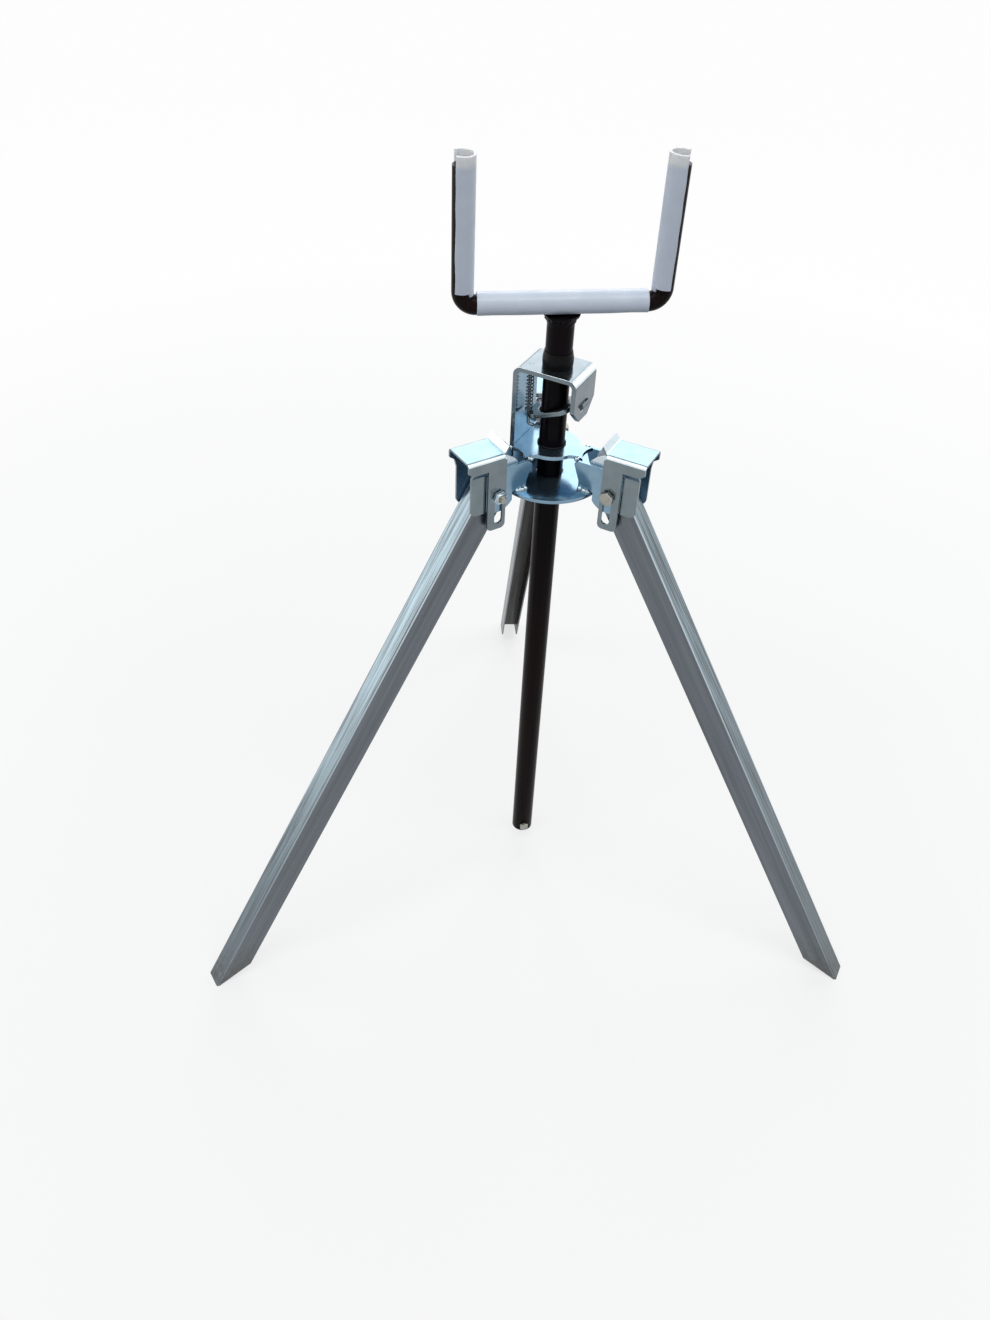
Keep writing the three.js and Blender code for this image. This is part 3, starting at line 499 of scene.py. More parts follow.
# one tree of nodes draws every round bar, wire, thread and weld bead along its path
def makeSweepTree():
    tree = bpy.data.node_groups.new("roundAlongPath", "GeometryNodeTree")
    face = tree.interface
    face.new_socket("Path", in_out="INPUT", socket_type="NodeSocketGeometry")
    for label, value in (
        ("Radius", 1 * mm), ("Ripple", 0.0), ("Ripple pitch", 1 * mm),
        ("Lump", 0.0), ("Lump size", 4 * mm), ("Taper", 0.001), ("End share", 1.0),
    ):
        face.new_socket(label, in_out="INPUT", socket_type="NodeSocketFloat").default_value = value
    face.new_socket("Sides", in_out="INPUT", socket_type="NodeSocketInt").default_value = 16
    face.new_socket("Seed", in_out="INPUT", socket_type="NodeSocketInt").default_value = 0
    face.new_socket("Finish", in_out="INPUT", socket_type="NodeSocketMaterial")
    face.new_socket("Bar", in_out="OUTPUT", socket_type="NodeSocketGeometry")

    def node(kind, **settings):
        made = tree.nodes.new(kind)
        for key, value in settings.items():
            setattr(made, key, value)
        return made

    def link(source, target):
        tree.links.new(source, target)

    def sums(operation, first, second):
        made = node("ShaderNodeMath", operation=operation)
        for socket, value in zip(made.inputs, (first, second)):
            if isinstance(value, (int, float)):
                socket.default_value = value
            else:
                link(value, socket)
        return made.outputs[0]

    start = node("NodeGroupInput").outputs
    curve = node("GeometryNodeMeshToCurve")
    link(start["Path"], curve.inputs["Mesh"])
    way = node("GeometryNodeSplineParameter").outputs
    phase = sums("DIVIDE", sums("MULTIPLY", way["Length"], fullTurn), start["Ripple pitch"])
    wave = sums("MULTIPLY", sums("SINE", phase, 0), start["Ripple"])
    cloud = node("ShaderNodeTexNoise", noise_dimensions="4D")
    link(node("GeometryNodeInputPosition").outputs[0], cloud.inputs["Vector"])
    link(start["Seed"], cloud.inputs["W"])
    link(sums("DIVIDE", 1.0, start["Lump size"]), cloud.inputs["Scale"])
    lumps = sums("MULTIPLY", sums("SUBTRACT", cloud.outputs["Fac"], 0.5), start["Lump"])
    ends = []
    for near in (way["Factor"], sums("SUBTRACT", 1.0, way["Factor"])):
        ramp = node("ShaderNodeMapRange", interpolation_type="SMOOTHSTEP")
        link(near, ramp.inputs["Value"])
        link(start["Taper"], ramp.inputs[2])
        link(start["End share"], ramp.inputs[3])
        ramp.inputs[4].default_value = 1
        ends.append(ramp.outputs[0])
    size = sums("ADD", sums("ADD", 1.0, wave), lumps)
    size = sums("MULTIPLY", size, sums("MULTIPLY", *ends))
    ring = node("GeometryNodeCurvePrimitiveCircle")
    link(start["Sides"], ring.inputs["Resolution"])
    link(start["Radius"], ring.inputs["Radius"])
    bar = node("GeometryNodeCurveToMesh")
    link(curve.outputs[0], bar.inputs["Curve"])
    link(ring.outputs[0], bar.inputs["Profile Curve"])
    link(size, bar.inputs["Scale"])
    bar.inputs["Fill Caps"].default_value = True
    real = node("GeometryNodeRealizeInstances")
    link(bar.outputs[0], real.inputs[0])
    dressed = node("GeometryNodeSetMaterial")
    link(real.outputs[0], dressed.inputs["Geometry"])
    link(start["Finish"], dressed.inputs["Material"])
    link(dressed.outputs[0], node("NodeGroupOutput").inputs[0])
    return tree


sweepTree = makeSweepTree()
sweepSockets = {
    item.name: item.identifier
    for item in sweepTree.interface.items_tree
    if item.item_type == "SOCKET" and item.in_out == "INPUT"
}


def sweep(points, radius, sides, finish, **inputs):
    build = bmesh.new()
    corners = [build.verts.new(point) for point in points]
    for first, second in zip(corners, corners[1:]):
        build.edges.new((first, second))
    worker = workerFor(meshFrom(build, "path"))
    drawn = worker.modifiers.new("drawn", "NODES")
    drawn.node_group = sweepTree
    values = {"Radius": radius, "Sides": sides, "Finish": finish}
    values.update({key.replace("_", " "): value for key, value in inputs.items()})
    for label, value in values.items():
        drawn[sweepSockets[label]] = value
    mesh = plainMesh(worker)
    build = bmesh.new()
    build.from_mesh(mesh)
    bmesh.ops.remove_doubles(build, verts=build.verts, dist=0.001 * mm)
    bmesh.ops.recalc_face_normals(build, faces=build.faces)
    build.to_mesh(mesh)
    build.free()
    mesh.shade_smooth()
    mesh.set_sharp_from_angle(angle=creases["drawn"])
    return mesh


# post: drawn tube with a rough weld under the crossbar
post = {
    "radius": 16.85 * mm, "wall": 3.2 * mm, "edge": 0.7 * mm, "cap": 4 * mm,
    "weldReach": 5.9 * mm, "weldHeight": 13 * mm, "weldRings": 20, "weldFoot": 4 * mm, "sides": 128,
    "leastReach": 0.35, "pinch": 1.5, "flare": 1.3,  # the weld reaches out along the crossbar
    "lump": 1.5 * mm, "lumps": 4.5, "lumpRise": 2.5, "topShare": 0.8,
}


def postMesh():
    radius, edge, top = post["radius"], post["edge"], postHigh.z
    inner = radius - post["wall"]

    def weldRing(share):
        def out(angle):
            least = post["leastReach"]
            side = least + (1 - least) * abs(math.cos(angle)) ** post["pinch"]
            swell = post["weldReach"] * share ** post["flare"] * side
            spot = Vector((math.cos(angle), math.sin(angle), share)) * post["lumps"]
            return radius + swell + post["lump"] * noise.noise(spot) * min(1, post["lumpRise"] * share)
        return out

    levels = [
        (0, top - post["cap"]), (inner, top - post["cap"]), (inner, postLow.z + edge),
        (inner + edge, postLow.z), (radius - edge, postLow.z), (radius, postLow.z + edge),
        (radius, top - post["weldHeight"] - post["weldFoot"]),
    ]
    for ring in range(post["weldRings"]):
        share = ring / (post["weldRings"] - 1)
        levels.append((weldRing(share), top - post["weldHeight"] * (1 - share)))
    levels += [(radius * post["topShare"], top), (0, top)]
    mesh = ringSolid(levels, post["sides"])
    mesh.transform(postPlace)
    return mesh


addPiece("post_tube_drawn", postMesh(), lacqueredPost, "post", "black_steel", "post_tube")

# fork: one round bar bent twice
fork = {"radius": 11.7 * mm, "armCentre": 120.2 * mm, "bend": 17 * mm, "bendSteps": 24, "sides": 56}


def forkPath():
    low = barLow.z + fork["radius"]
    half, bend = fork["armCentre"], fork["bend"]
    points = [(-half, barHigh.z)]
    for step in range(fork["bendSteps"] + 1):
        angle = math.pi / 2 * step / fork["bendSteps"]
        points.append((-half + bend * (1 - math.cos(angle)), low + bend * (1 - math.sin(angle))))
    points += [(-x, z) for x, z in reversed(points)]
    return [postPlace @ Vector((x, 0, z)) for x, z in points]


forkMesh = sweep(forkPath(), fork["radius"], fork["sides"], lacqueredBar)
addPiece("fork_bar_bent", forkMesh, lacqueredBar, "post", "black_steel", "fork_bar")

# split sleeves: plastic tube slit wide open along its length and cut with a knife
sleeve = {
    "outer": 14.8 * mm, "inner": 12.0 * mm, "slitHalfAngle": math.radians(54), "edge": 0.6 * mm,
    "arcSteps": 56, "stations": 60, "waver": 0.07, "waves": 5, "endRound": 0.8, "lip": (0.3, 0.7),
    "tongueDrop": 4.2 * mm, "tongueHalfAngle": 0.85,
    "crossHalf": 102.2 * mm, "turn": {"left": math.pi, "right": math.radians(-17)},
    "skew": (0.6 * mm, 0.5 * mm), "crossSkew": (0.4 * mm, 0.5 * mm), "skewEase": 8,
    "seed": {"left": 1.0, "right": 3.0, "crossbar": 5.0},
}


def sleeveMesh(length, skew, seed, tongue=0.0):
    # along local z from 0, slit towards local x, with tipped ends and a tongue below the first one
    build = bmesh.new()
    outer, inner, edge = sleeve["outer"], sleeve["inner"], sleeve["edge"]
    steps, last = sleeve["arcSteps"], sleeve["stations"]
    rounded = sleeve["endRound"] * edge
    inset, reach = sleeve["lip"]
    rings = []
    for station in range(last + 1):
        share = station / last
        trim = edge if station in (0, last) else 0
        height = length * share
        if station in (1, last - 1):
            height = rounded if station == 1 else length - rounded
        wave = noise.noise(Vector((share * sleeve["waves"], seed, 0)))
        half = sleeve["slitHalfAngle"] + sleeve["waver"] * wave
        start, end = half + edge / outer, fullTurn - half - edge / outer
        angles = [start + (end - start) * i / steps for i in range(steps + 1)]
        loop = [(outer - trim, a) for a in angles]
        lips = ((outer - inset * edge, reach), ((outer + inner) / 2, 1), (inner + inset * edge, reach))
        loop += [(r, end + edge / outer * out) for r, out in lips]
        loop += [(inner + trim, a) for a in reversed(angles)]
        loop += [(r, start - edge / outer * out) for r, out in reversed(lips)]
        tip = skew[0] if share < 0.5 else skew[1]
        ring = []
        for radius, angle in loop:
            lift = tip * math.cos(angle + seed) * (abs(share - 0.5) * 2) ** sleeve["skewEase"]
            if station < 2 and abs(angle - math.pi) < sleeve["tongueHalfAngle"]:
                lift -= tongue
            spot = (radius * math.cos(angle), radius * math.sin(angle), height + lift)
            ring.append(build.verts.new(spot))
        rings.append(ring)
    count = len(rings[0])
    for low, high in zip(rings, rings[1:]):
        for i in range(count):
            j = (i + 1) % count
            build.faces.new((low[i], low[j], high[j], high[i]))
    # cut ends, closed from the outside to the bore
    for ring in (rings[0], rings[-1]):
        for i in range(steps):
            build.faces.new((ring[i], ring[i + 1], ring[2 * steps + 3 - i], ring[2 * steps + 4 - i]))
        build.faces.new([ring[i] for i in range(steps, steps + 5)])
        build.faces.new([ring[i] for i in range(2 * steps + 4, count)] + [ring[0]])
    bmesh.ops.recalc_face_normals(build, faces=build.faces)
    mesh = meshFrom(build, "sleeve")
    mesh.shade_smooth()
    mesh.set_sharp_from_angle(angle=creases["cut"])
    return mesh


for side, name in ((-1, "left"), (1, "right")):
    node = "fork_sleeve_" + name
    low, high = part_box(node)
    cutSleeve = sleeveMesh(high.z - low.z, sleeve["skew"], sleeve["seed"][name], sleeve["tongueDrop"])
    centre = Matrix.Translation((side * fork["armCentre"], 0, low.z))
    cutSleeve.transform(postPlace @ centre @ Matrix.Rotation(sleeve["turn"][name], 4, "Z"))
    addPiece(node + "_cut", cutSleeve, whitePlastic, "post", "white_plastic", node)

lyingSleeve = sleeveMesh(2 * sleeve["crossHalf"], sleeve["crossSkew"], sleeve["seed"]["crossbar"])
lying = postPlace @ Matrix.Translation((-sleeve["crossHalf"], 0, barLow.z + fork["radius"]))
lyingSleeve.transform(lying @ Matrix.Rotation(math.pi / 2, 4, "Y"))
addPiece(
    "fork_sleeve_crossbar_cut", lyingSleeve, whitePlastic, "post", "white_plastic", "fork_sleeve_crossbar",
)
print("post, fork and sleeves made")


# hexagon bolts and nuts, along local z with the head first; shares are of the width across flats
hexForm = {
    "chamfer": 0.47, "chamferAngle": math.radians(30), "sides": 72,
    "boss": 0.30, "bossFoot": 0.34, "bossRise": 0.25 * mm, "face": 0.48, "faceHeight": 0.5 * mm,
    "collarFrom": 0.66, "collar": (0.455, 0.44, 0.40, 0.36), "collarRound": 0.3 * mm,
}
threadForm = {
    "depth": 0.55, "ridge": 0.62, "ridgeSides": 6, "stepsPerTurn": 24, "taper": 0.06, "endShare": 0.3,
    "runOut": 0.6 * mm, "start": 0.9 * mm, "shorter": 2 * mm, "tip": (0.9 * mm, 0.8 * mm),
}


def hexOut(flats):
    sixth = math.pi / 3

    def out(angle):
        return flats / 2 / math.cos((angle + sixth / 2) % sixth - sixth / 2)
    return out


def hexDrop(flats, height, towards):
    # where the chamfer meets the flats
    out = hexOut(flats)
    flat = hexForm["chamfer"] * flats

    def level(angle):
        return height + towards * (out(angle) - flat) * math.tan(hexForm["chamferAngle"])
    return level


def boltMesh(bolt, finish):
    flats, shank = bolt["flats"], bolt["shank"]
    top, seat, end = bolt["headTop"], bolt["seat"], bolt["end"]
    root = shank - threadForm["depth"] * bolt["pitch"]
    threadFrom = end - bolt["threadLength"]
    boss = top + hexForm["bossRise"]
    face = seat - hexForm["faceHeight"]
    tipIn, tipBack = threadForm["tip"]
    levels = [
        (0, boss), (hexForm["boss"] * flats, boss),
        (hexForm["bossFoot"] * flats, top), (hexForm["chamfer"] * flats, top),
        (hexOut(flats), hexDrop(flats, top, 1)), (hexOut(flats), face),
        (hexForm["face"] * flats, face), (hexForm["face"] * flats, seat), (shank, seat),
        (shank, threadFrom), (root, threadFrom + threadForm["runOut"]), (root, end - tipBack),
        (root - tipIn, end), (0, end),
    ]
    turns = (bolt["threadLength"] - threadForm["shorter"]) / bolt["pitch"]
    steps = int(turns * threadForm["stepsPerTurn"])
    middle = (root + shank) / 2
    helix = []
    for step in range(steps + 1):
        angle = fullTurn * turns * step / steps
        rise = threadFrom + threadForm["start"] + bolt["pitch"] * turns * step / steps
        helix.append((middle * math.cos(angle), middle * math.sin(angle), rise))
    ridge = sweep(
        helix, (shank - root) * threadForm["ridge"], threadForm["ridgeSides"], finish,
        Taper=threadForm["taper"], End_share=threadForm["endShare"],
    )
    return joinedMesh(ringSolid(levels, hexForm["sides"]), ridge)


def nutMesh(nut):
    # locking nut: hexagon with a round collar that holds the plastic ring
    flats, bore = nut["flats"], nut["bore"]
    seat, top = nut["seat"], nut["top"]
    shoulder = seat + hexForm["collarFrom"] * (top - seat)
    rim = top - hexForm["collarRound"]
    collar = [share * flats for share in hexForm["collar"]]
    levels = [
        (bore, seat), (hexForm["chamfer"] * flats, seat), (hexOut(flats), hexDrop(flats, seat, 1)),
        (hexOut(flats), hexDrop(flats, shoulder, -1)),
        *zip(collar, (shoulder, (shoulder + top) / 2, rim, top)), (bore, rim),
    ]
    return ringSolid(levels, hexForm["sides"], loop=True)


pivotBolt = {
    "flats": 17 * mm, "shank": 4.95 * mm, "headTop": -31.9 * mm, "seat": -25.5 * mm,
    "end": 38 * mm, "threadLength": 14 * mm, "pitch": 1.5 * mm,
}
pivotNut = {"flats": 17 * mm, "bore": 5.1 * mm, "seat": 25.5 * mm, "top": 33.5 * mm}
stopBolt = {
    "flats": 13 * mm, "shank": 3.95 * mm, "headTop": -22.45 * mm, "seat": -17.15 * mm,
    "end": 26.65 * mm, "threadLength": 11 * mm, "pitch": 1.25 * mm,
}
stopNut = {"flats": 13 * mm, "bore": 4.1 * mm, "seat": 17.15 * mm, "top": 23.65 * mm}
alongAcross = Matrix.Rotation(-math.pi / 2, 4, "X")  # local z to local y
boltSpin = {"first": 0.35, "step": 0.4}  # no two bolts stop at the same turn

for index, place in enumerate(directions):
    spin = Matrix.Rotation(boltSpin["first"] + boltSpin["step"] * index, 4, "Z")
    for name, mesh, finish, slotName in (
        ("pivot_bolt_" + place, boltMesh(pivotBolt, yellowZinc), yellowZinc, "yellow_zinc"),
        ("pivot_nut_" + place, nutMesh(pivotNut), weldZinc, "zinc_plated"),
    ):
        mesh.transform(pivotPlaces[place] @ alongAcross @ spin)
        addPiece(name + "_turned", mesh, finish, "hub", slotName, name)

stopLow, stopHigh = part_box("stop_nut")
stopSpot = postPlace @ Matrix.Translation((0, 0, (stopLow.z + stopHigh.z) / 2)) @ alongAcross
for name, mesh, finish, slotName in (
    ("stop_bolt", boltMesh(stopBolt, yellowZinc), yellowZinc, "yellow_zinc"),
    ("stop_nut", nutMesh(stopNut), zincPlated, "zinc_plated"),
):
    mesh.transform(stopSpot)
    addPiece(name + "_turned", mesh, finish, "post", slotName, name)
print("bolts and nuts turned")

# hub plates, arms, caps and legs keep the CAD form with broken edges
brokenEdges = {
    "upper_plate": 0.7 * mm, "clutch_bracket": 0.9 * mm, "clutch_plate": 0.9 * mm,
    "arm_plate": 0.6 * mm, "lock_cap": 0.5 * mm, "leg": 0.45 * mm,
}
highlightTilt = {"from": 0.25, "to": 0.94}  # faces whose normals point up by this much get a painted highlight
turnedTo = 0.5  # least part of a normal that counts as facing some way


def addFinish(piece, finish):
    # a further finish for some of the piece's faces
    piece.data.materials.append(finish)
    return len(piece.data.materials) - 1


# painted highlight on faces that slope upwards, bends and edges among them
def paintBendHighlights(piece):
    bright = addFinish(piece, bendHighlightZinc)
    for face in piece.data.polygons:
        if highlightTilt["from"] < face.normal.z < highlightTilt["to"]:
            face.material_index = bright


def dressBracket(piece):
    # the wall's side towards the post gets the painted sky-blue reflection
    blue = addFinish(piece, skyBlueZinc)
    back = facing(directions["right"]).inverted()
    for face in piece.data.polygons:
        if (back @ face.center).x < 0 and (back.to_3x3() @ face.normal).x > turnedTo:
            face.material_index = blue


for node, finish in (("upper_plate", skyBlueZinc), ("clutch_bracket", plateZinc)):
    plate = softEdged(node, brokenEdges[node])
    piece = addPiece(node + "_pressed", plate, finish, "hub", "zinc_plated", node)
    if node == "clutch_bracket":
        dressBracket(piece)
    paintBendHighlights(piece)
addPiece(
    "clutch_plate_pressed", softEdged("clutch_plate", brokenEdges["clutch_plate"]),
    zincPlated, "clutch", "zinc_plated", "clutch_plate",
)

channel = {
    "web": 20.5 * mm, "half": 16 * mm, "wall": 2.5 * mm, "slack": 0.4 * mm,
    "bendFrom": 0.25, "bendTo": 0.85, "inward": 0.2,  # parts of the normals
}


def legMesh(place):
    # marks the web, its bends and the channel's inside for the finish
    mesh = softEdged("leg_" + place, brokenEdges["leg"])
    back = legPlaces[place].inverted()
    inside = channel["half"] - channel["wall"] + channel["slack"]
    floor = channel["web"] - channel["wall"] + channel["slack"]
    marks = {"web": [], "bend": [], "hollow": []}
    for face in mesh.polygons:
        spot, out = back @ face.center, back.to_3x3() @ face.normal
        outside = spot.x > floor
        bent = channel["bendFrom"] < out.x <= channel["bendTo"] and abs(spot.y) > inside
        faced = out.x < -turnedTo or out.y * spot.y < -channel["inward"] * channel["half"]
        marks["web"].append(float(outside and out.x > channel["bendTo"]))
        marks["bend"].append(float(outside and bent))
        marks["hollow"].append(float(abs(spot.y) < inside and spot.x < floor and faced))
    for name, values in marks.items():
        mesh.attributes.new(name, "FLOAT", "FACE").data.foreach_set("value", values)
    return mesh


def dressCap(piece, place):
    # painted light on the roof, and painted shade with a blue reflection on faces that look at the leg or
    # down
    inner = addFinish(piece, shadedInnerZinc)
    bright = addFinish(piece, litRoofZinc)
    back = facing(directions[place]).inverted()
    for face in piece.data.polygons:
        spot, out = back @ face.center, back.to_3x3() @ face.normal
        underRoof = out.z < -turnedTo and spot.z > pivotHeight
        if out.z >= highlightTilt["to"]:
            face.material_index = bright
        # painted shade and blue reflection where faces look at the leg or down
        elif underRoof or out.y * spot.y < -turnedTo * abs(spot.y):
            face.material_index = inner


for place in directions:
    for side in ("bolt_side", "nut_side"):
        node = "arm_plate_" + place + "_" + side
        armMesh = softEdged(node, brokenEdges["arm_plate"])
        addPiece(node + "_pressed", armMesh, skyBlueZinc, "hub", "zinc_plated", node)
    cap = "lock_cap_" + place
    capMesh = softEdged(cap, brokenEdges["lock_cap"])
    capPiece = addPiece(cap + "_pressed", capMesh, zincPlated, "cap_" + place, "zinc_plated", cap)
    dressCap(capPiece, place)
    paintBendHighlights(capPiece)
    leg = "leg_" + place
    addPiece(leg + "_rolled", legMesh(place), legFinishes[place], leg, "galvanised", leg)

# round plates and rings, turned
disc = {"radius": 73.4 * mm, "hole": 17.45 * mm, "edge": 0.8 * mm, "sides": 144}


def discMesh():
    low, high, edge, radius, hole = discLow.z, discHigh.z, disc["edge"], disc["radius"], disc["hole"]
    quarter = edge / 4
    levels = [
        (hole, low), (radius - edge, low), (radius - quarter, low + quarter), (radius, low + edge),
        (radius, high - edge), (radius - quarter, high - quarter), (radius - edge, high),
        (hole + edge, high), (hole, high - edge),
    ]
    mesh = ringSolid(levels, disc["sides"], loop=True)
    mesh.transform(Matrix.Translation(postAxis))
    return mesh


addPiece("lower_disc_turned", discMesh(), skyBlueZinc, "hub", "zinc_plated", "lower_disc")

bush = {
    "inner": 17.15 * mm, "outer": 18.05 * mm, "collarSteps": 18, "sides": 96,
    "collar": {"post_bush_lower": 0.7 * mm, "post_bush_upper": 1.35 * mm},
    "plate": {"post_bush_lower": 5 * mm, "post_bush_upper": 6 * mm}, "seat": 0.3 * mm,
    "foot": 0.6, "crest": 0.9, "fallFrom": 0.55, "fall": 0.9,  # shares of the collar's reach and height
}


def bushMesh(node):
    low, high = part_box(node)
    foot = low.z + bush["plate"][node] + bush["seat"]
    levels = [(bush["inner"], low.z), (bush["outer"], low.z), (bush["outer"], foot)]
    for step in range(bush["collarSteps"] + 1):
        share = step / bush["collarSteps"]
        hump = (1 - bush["foot"]) * math.sin(math.pi * min(share / bush["crest"], 1))
        fall = bush["fall"] * max(0, share - bush["fallFrom"]) / (1 - bush["fallFrom"])
        reach = bush["collar"][node] * (bush["foot"] + hump - fall)
        levels.append((bush["outer"] + reach, foot + (high.z - foot) * share))
    levels.append((bush["inner"], high.z))
    mesh = ringSolid(levels, bush["sides"], loop=True)
    mesh.transform(Matrix.Translation(postAxis))
    return mesh


for node in ("post_bush_lower", "post_bush_upper"):
    addPiece(node + "_moulded", bushMesh(node), blackPlastic, "post_guide", "black_plastic", node)

spacer = {"outer": 7.2 * mm, "bore": 5.3 * mm, "half": 16.2 * mm, "edge": 0.4 * mm, "sides": 64}


def spacerMesh():
    half, edge, outer, bore = spacer["half"], spacer["edge"], spacer["outer"], spacer["bore"]
    levels = [
        (bore, -half), (outer - edge, -half), (outer, -half + edge),
        (outer, half - edge), (outer - edge, half), (bore, half),
    ]
    return ringSolid(levels, spacer["sides"], loop=True)


for place in directions:
    node = "pivot_sleeve_" + place
    mesh = spacerMesh()
    mesh.transform(pivotPlaces[place] @ alongAcross)
    addPiece(node + "_turned", mesh, zincPlated, "hub", "zinc_plated", node)
print("plates, caps and legs dressed")

# clutch spring and its pin
spring = {
    "radius": 4.3 * mm, "wire": 0.7 * mm, "curls": 11, "endTurns": 1.25, "endPitch": 1.04,
    "stepsPerTurn": 28, "sides": 14, "keep": 0.763,
}
springLow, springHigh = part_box("clutch_spring")
pinLow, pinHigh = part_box("spring_pin")
springCentre = (springLow + springHigh) / 2


def springPath():
    # closed end turns with open curls between them
    wire, endTurns = spring["wire"], spring["endTurns"]
    bottom, top = springLow.z + wire, springHigh.z - wire
    turns = spring["curls"] + 2 * endTurns
    steps = int(turns * spring["stepsPerTurn"])
    shut = endTurns * 2 * wire * spring["endPitch"]
    points = []
    for step in range(steps + 1):
        turn = turns * step / steps
        if turn < endTurns:
            rise = bottom + shut * turn / endTurns
        elif turn > turns - endTurns:
            rise = top - shut * (turns - turn) / endTurns
        else:
            share = (turn - endTurns) / spring["curls"]
            rise = bottom + shut + (top - bottom - 2 * shut) * share
        angle = fullTurn * turn
        out = Vector((math.cos(angle), math.sin(angle), 0)) * spring["radius"]
        points.append(Vector((springCentre.x, springCentre.y, rise)) + out)
    return points


springPiece = addPiece(
    "clutch_spring_wound", sweep(springPath(), spring["wire"], spring["sides"], springSteel),
    springSteel, "hub", "spring_steel", "clutch_spring",
)
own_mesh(springPiece)

pin = {"radius": 2 * mm, "hook": 4 * mm, "steps": 12, "sides": 20}


def pinPath():
    hook, low = pin["hook"], pinLow.z + pin["radius"]
    points = [Vector((0, 0, pinHigh.z))]
    for step in range(pin["steps"] + 1):
        angle = math.pi / 2 * step / pin["steps"]
        points.append(Vector((hook * (1 - math.cos(angle)), 0, low + hook * (1 - math.sin(angle)))))
    points.append(Vector((2 * hook, 0, low)))
    place = Matrix.Translation((springCentre.x, springCentre.y, 0))
    place = place @ Matrix.Rotation(directions["right"], 4, "Z")
    return [place @ point for point in points]


pinMesh = sweep(pinPath(), pin["radius"], pin["sides"], zincPlated)
addPiece("spring_pin_bent", pinMesh, zincPlated, "hub", "zinc_plated", "spring_pin")
print("spring and pin wound")

# weld beads where the hub's plates meet
weld = {
    "radius": 3.4 * mm, "ripple": 0.035, "pitch": 2.3 * mm, "lump": 1.5, "lumpSize": 5 * mm,
    "wander": 1.3 * mm, "waves": 3.1, "step": 0.45 * mm, "leastSteps": 8, "seed": 7,
    "sides": 16, "taper": 0.18, "endShare": 0.35,
}
noise.seed_set(weld["seed"])  # else the beads wander differently in each run
armFoot = {"from": 50 * mm, "to": 68 * mm, "across": 22.7 * mm, "rise": 0.8 * mm}
armTop = {
    "in": 41.5 * mm, "inByBracket": 49.5 * mm, "run": 5 * mm, "across": (18.5 * mm, 14.6 * mm),
    "drop": (3 * mm, 1.5 * mm), "size": 0.85, "byBracket": ("rear_nut_side", "left_bolt_side"),
}
bracketFoot = {"back": -46.4 * mm, "half": 26 * mm, "rise": 1 * mm}
beadSeeds = {"first": 3, "perArm": 7, "top": 30, "bracket": 77}


def beadPath(start, end, seed):
    start, end = Vector(start), Vector(end)
    count = max(weld["leastSteps"], int((end - start).length / weld["step"]))
    points = []
    for step in range(count + 1):
        share = step / count
        shift = noise.noise_vector(Vector((share * weld["waves"], seed, 0.5))) * weld["wander"]
        points.append(start.lerp(end, share) + shift)
    return points


def bead(name, start, end, direction, seed, size=1.0):
    path = [facing(direction) @ point for point in beadPath(start, end, seed)]
    mesh = sweep(
        path, weld["radius"] * size, weld["sides"], weldZinc,
        Ripple=weld["ripple"], Ripple_pitch=weld["pitch"], Lump=weld["lump"], Lump_size=weld["lumpSize"],
        Seed=seed, Taper=weld["taper"], End_share=weld["endShare"],
    )
    return addPiece(name, mesh, weldZinc, "hub", "zinc_plated")


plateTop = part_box("upper_plate")[1].z
for index, (place, direction) in enumerate(directions.items()):
    for side in (-1, 1):
        label = place + ("_bolt_side" if side < 0 else "_nut_side")
        seed = beadSeeds["first"] + beadSeeds["perArm"] * index + side
        across, foot = side * armFoot["across"], discHigh.z + armFoot["rise"]
        start, end = (armFoot["from"], across, foot), (armFoot["to"], across, foot)
        bead("weld_arm_foot_" + label, start, end, direction, seed)
        inner = armTop["inByBracket"] if label in armTop["byBracket"] else armTop["in"]
        start, end = (
            (inner + run, side * reach, plateTop - drop)
            for run, reach, drop in zip((0, armTop["run"]), armTop["across"], armTop["drop"])
        )
        bead("weld_arm_top_" + label, start, end, direction, seed + beadSeeds["top"], armTop["size"])
back, foot = bracketFoot["back"], discHigh.z + bracketFoot["rise"]
start, end = (back, -bracketFoot["half"], foot), (back, bracketFoot["half"], foot)
bead("weld_bracket_foot", start, end, directions["right"], beadSeeds["bracket"])
print("weld beads laid")

# studio: pale floor that glows whiter with distance, white surround, soft lamps all round
studio = {
    "floorSize": 40, "floorColour": (0.40, 0.40, 0.41), "floorSeen": (0.97, 0.97, 0.97),
    "floorRough": 0.9, "floorSpecular": 0.1, "glow": (0.72, 0.98), "glowFrom": 0.7, "glowTo": 2.4,
    "surround": (0.88, 0.94, 1.0), "surroundLevel": 0.28,
    "lamps": (
        ("lampBack", (0.3, 2.6, 2.5), (2.8, 1.8), 36),
        ("lampTop", (0, -1.0, 3.1), (4.4, 0.6), 42),
        ("lampLeft", (-2.8, 0.2, 0.8), (1.2, 1.6), 11),
        ("lampRight", (2.6, 1.3, 2.0), (1.2, 1.2), 11),
    ),
    "aim": (0, -0.14, 0.8),
}


def seenDirectly(tree):
    # 1 where the eye, a reflection or a clear body looks, 0 for the light that falls on the object
    path = tree.nodes.new("ShaderNodeLightPath").outputs
    share = path["Is Camera Ray"]
    for kind in ("Is Glossy Ray", "Is Transmission Ray"):
        node = tree.nodes.new("ShaderNodeMath")
        node.operation = "MAXIMUM"
        tree.links.new(share, node.inputs[0])
        tree.links.new(path[kind], node.inputs[1])
        share = node.outputs[0]
    return share


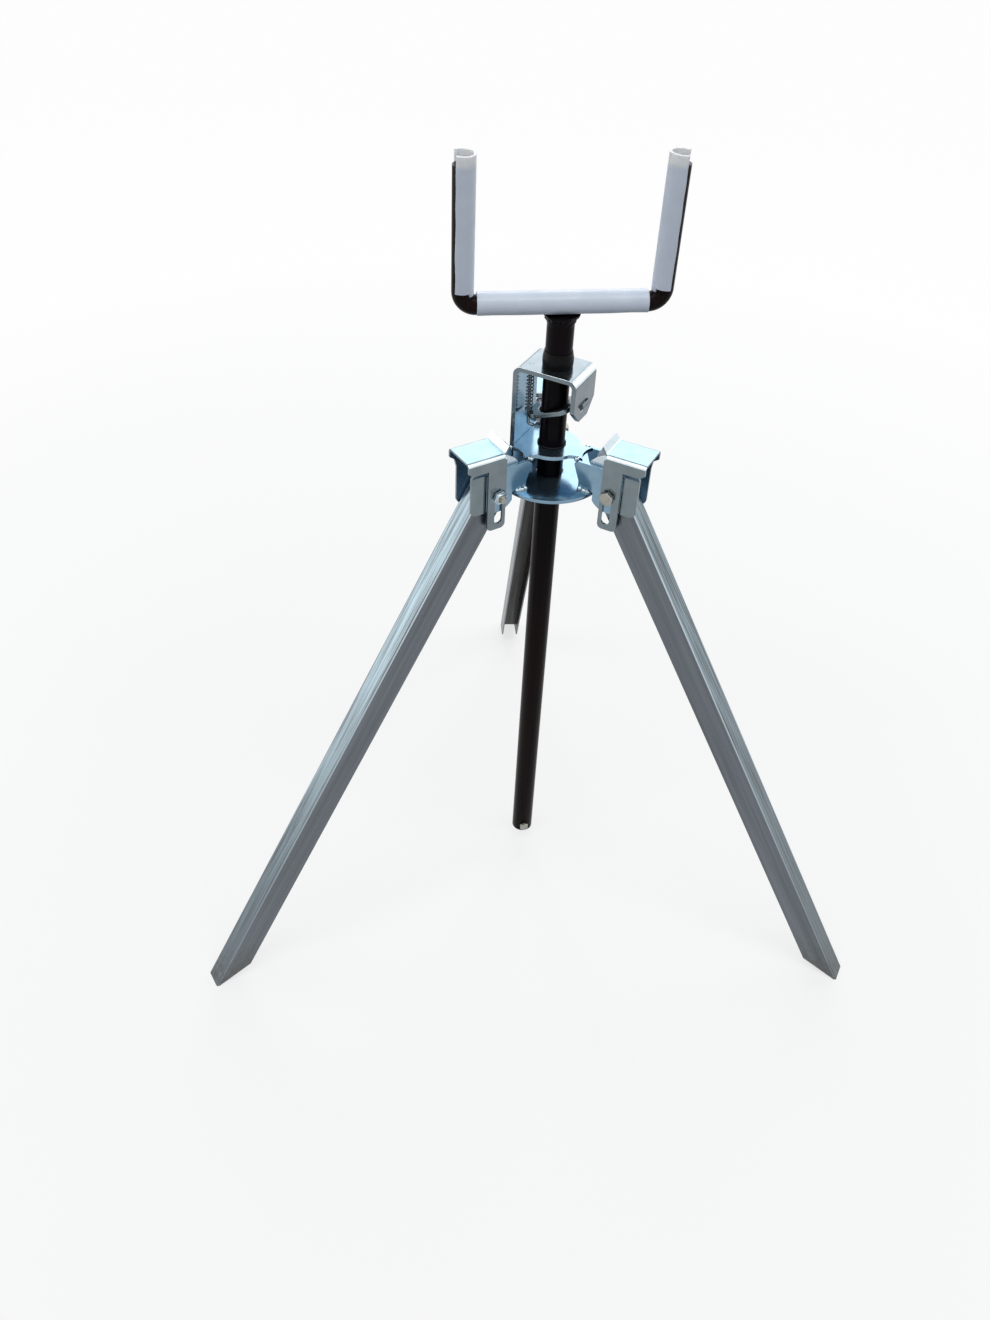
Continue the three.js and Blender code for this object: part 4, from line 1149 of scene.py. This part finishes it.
def makeFloor():
    half = studio["floorSize"] / 2
    corners = [(-half, -half, 0), (half, -half, 0), (half, half, 0), (-half, half, 0)]
    mesh = bpy.data.meshes.new("floor")
    mesh.from_pydata(corners, [], [(0, 1, 2, 3)])
    finish, tree, shader, place = startFinish("floor", 0.0, studio["floorSpecular"])
    shader.inputs["Roughness"].default_value = studio["floorRough"]
    seen = seenDirectly(tree)
    colour = blendColours(tree, seen, studio["floorColour"], studio["floorSeen"])
    tree.links.new(colour, shader.inputs["Base Color"])
    glow = tree.nodes.new("ShaderNodeEmission")
    blend = tree.nodes.new("ShaderNodeMixShader")
    reach = tree.nodes.new("ShaderNodeVectorMath")
    reach.operation = "LENGTH"
    tree.links.new(place, reach.inputs[0])
    white = spread(tree, reach.outputs["Value"], studio["glowFrom"], studio["glowTo"], *studio["glow"])
    tree.links.new(multiply(tree, seen, white), blend.inputs[0])
    tree.links.new(shader.outputs[0], blend.inputs[1])
    tree.links.new(glow.outputs[0], blend.inputs[2])
    tree.links.new(blend.outputs[0], tree.nodes["Material Output"].inputs["Surface"])
    mesh.materials.append(finish)
    floor = bpy.data.objects.new("floor", mesh)
    bpy.context.scene.collection.objects.link(floor)


def makeSurround():
    world = bpy.data.worlds.new("surround")
    world.use_nodes = True
    bpy.context.scene.world = world
    tree = world.node_tree
    backdrop = tree.nodes["Background"]
    seen = seenDirectly(tree)
    colour = blendColours(tree, seen, studio["surround"], (1, 1, 1))
    tree.links.new(colour, backdrop.inputs["Color"])
    tree.links.new(spread(tree, seen, 0, 1, studio["surroundLevel"], 1), backdrop.inputs["Strength"])


def makeLamps():
    aim = Vector(studio["aim"])
    for name, place, size, power in studio["lamps"]:
        data = bpy.data.lights.new(name, "AREA")
        data.shape = "RECTANGLE"
        data.size, data.size_y = size
        data.energy = power
        lamp = bpy.data.objects.new(name, data)
        lamp.location = place
        lamp.rotation_euler = (aim - Vector(place)).to_track_quat("-Z", "Y").to_euler()
        bpy.context.scene.collection.objects.link(lamp)


makeFloor()
makeSurround()
makeLamps()
bpy.context.scene.view_settings.view_transform = "Standard"
print("studio lit")
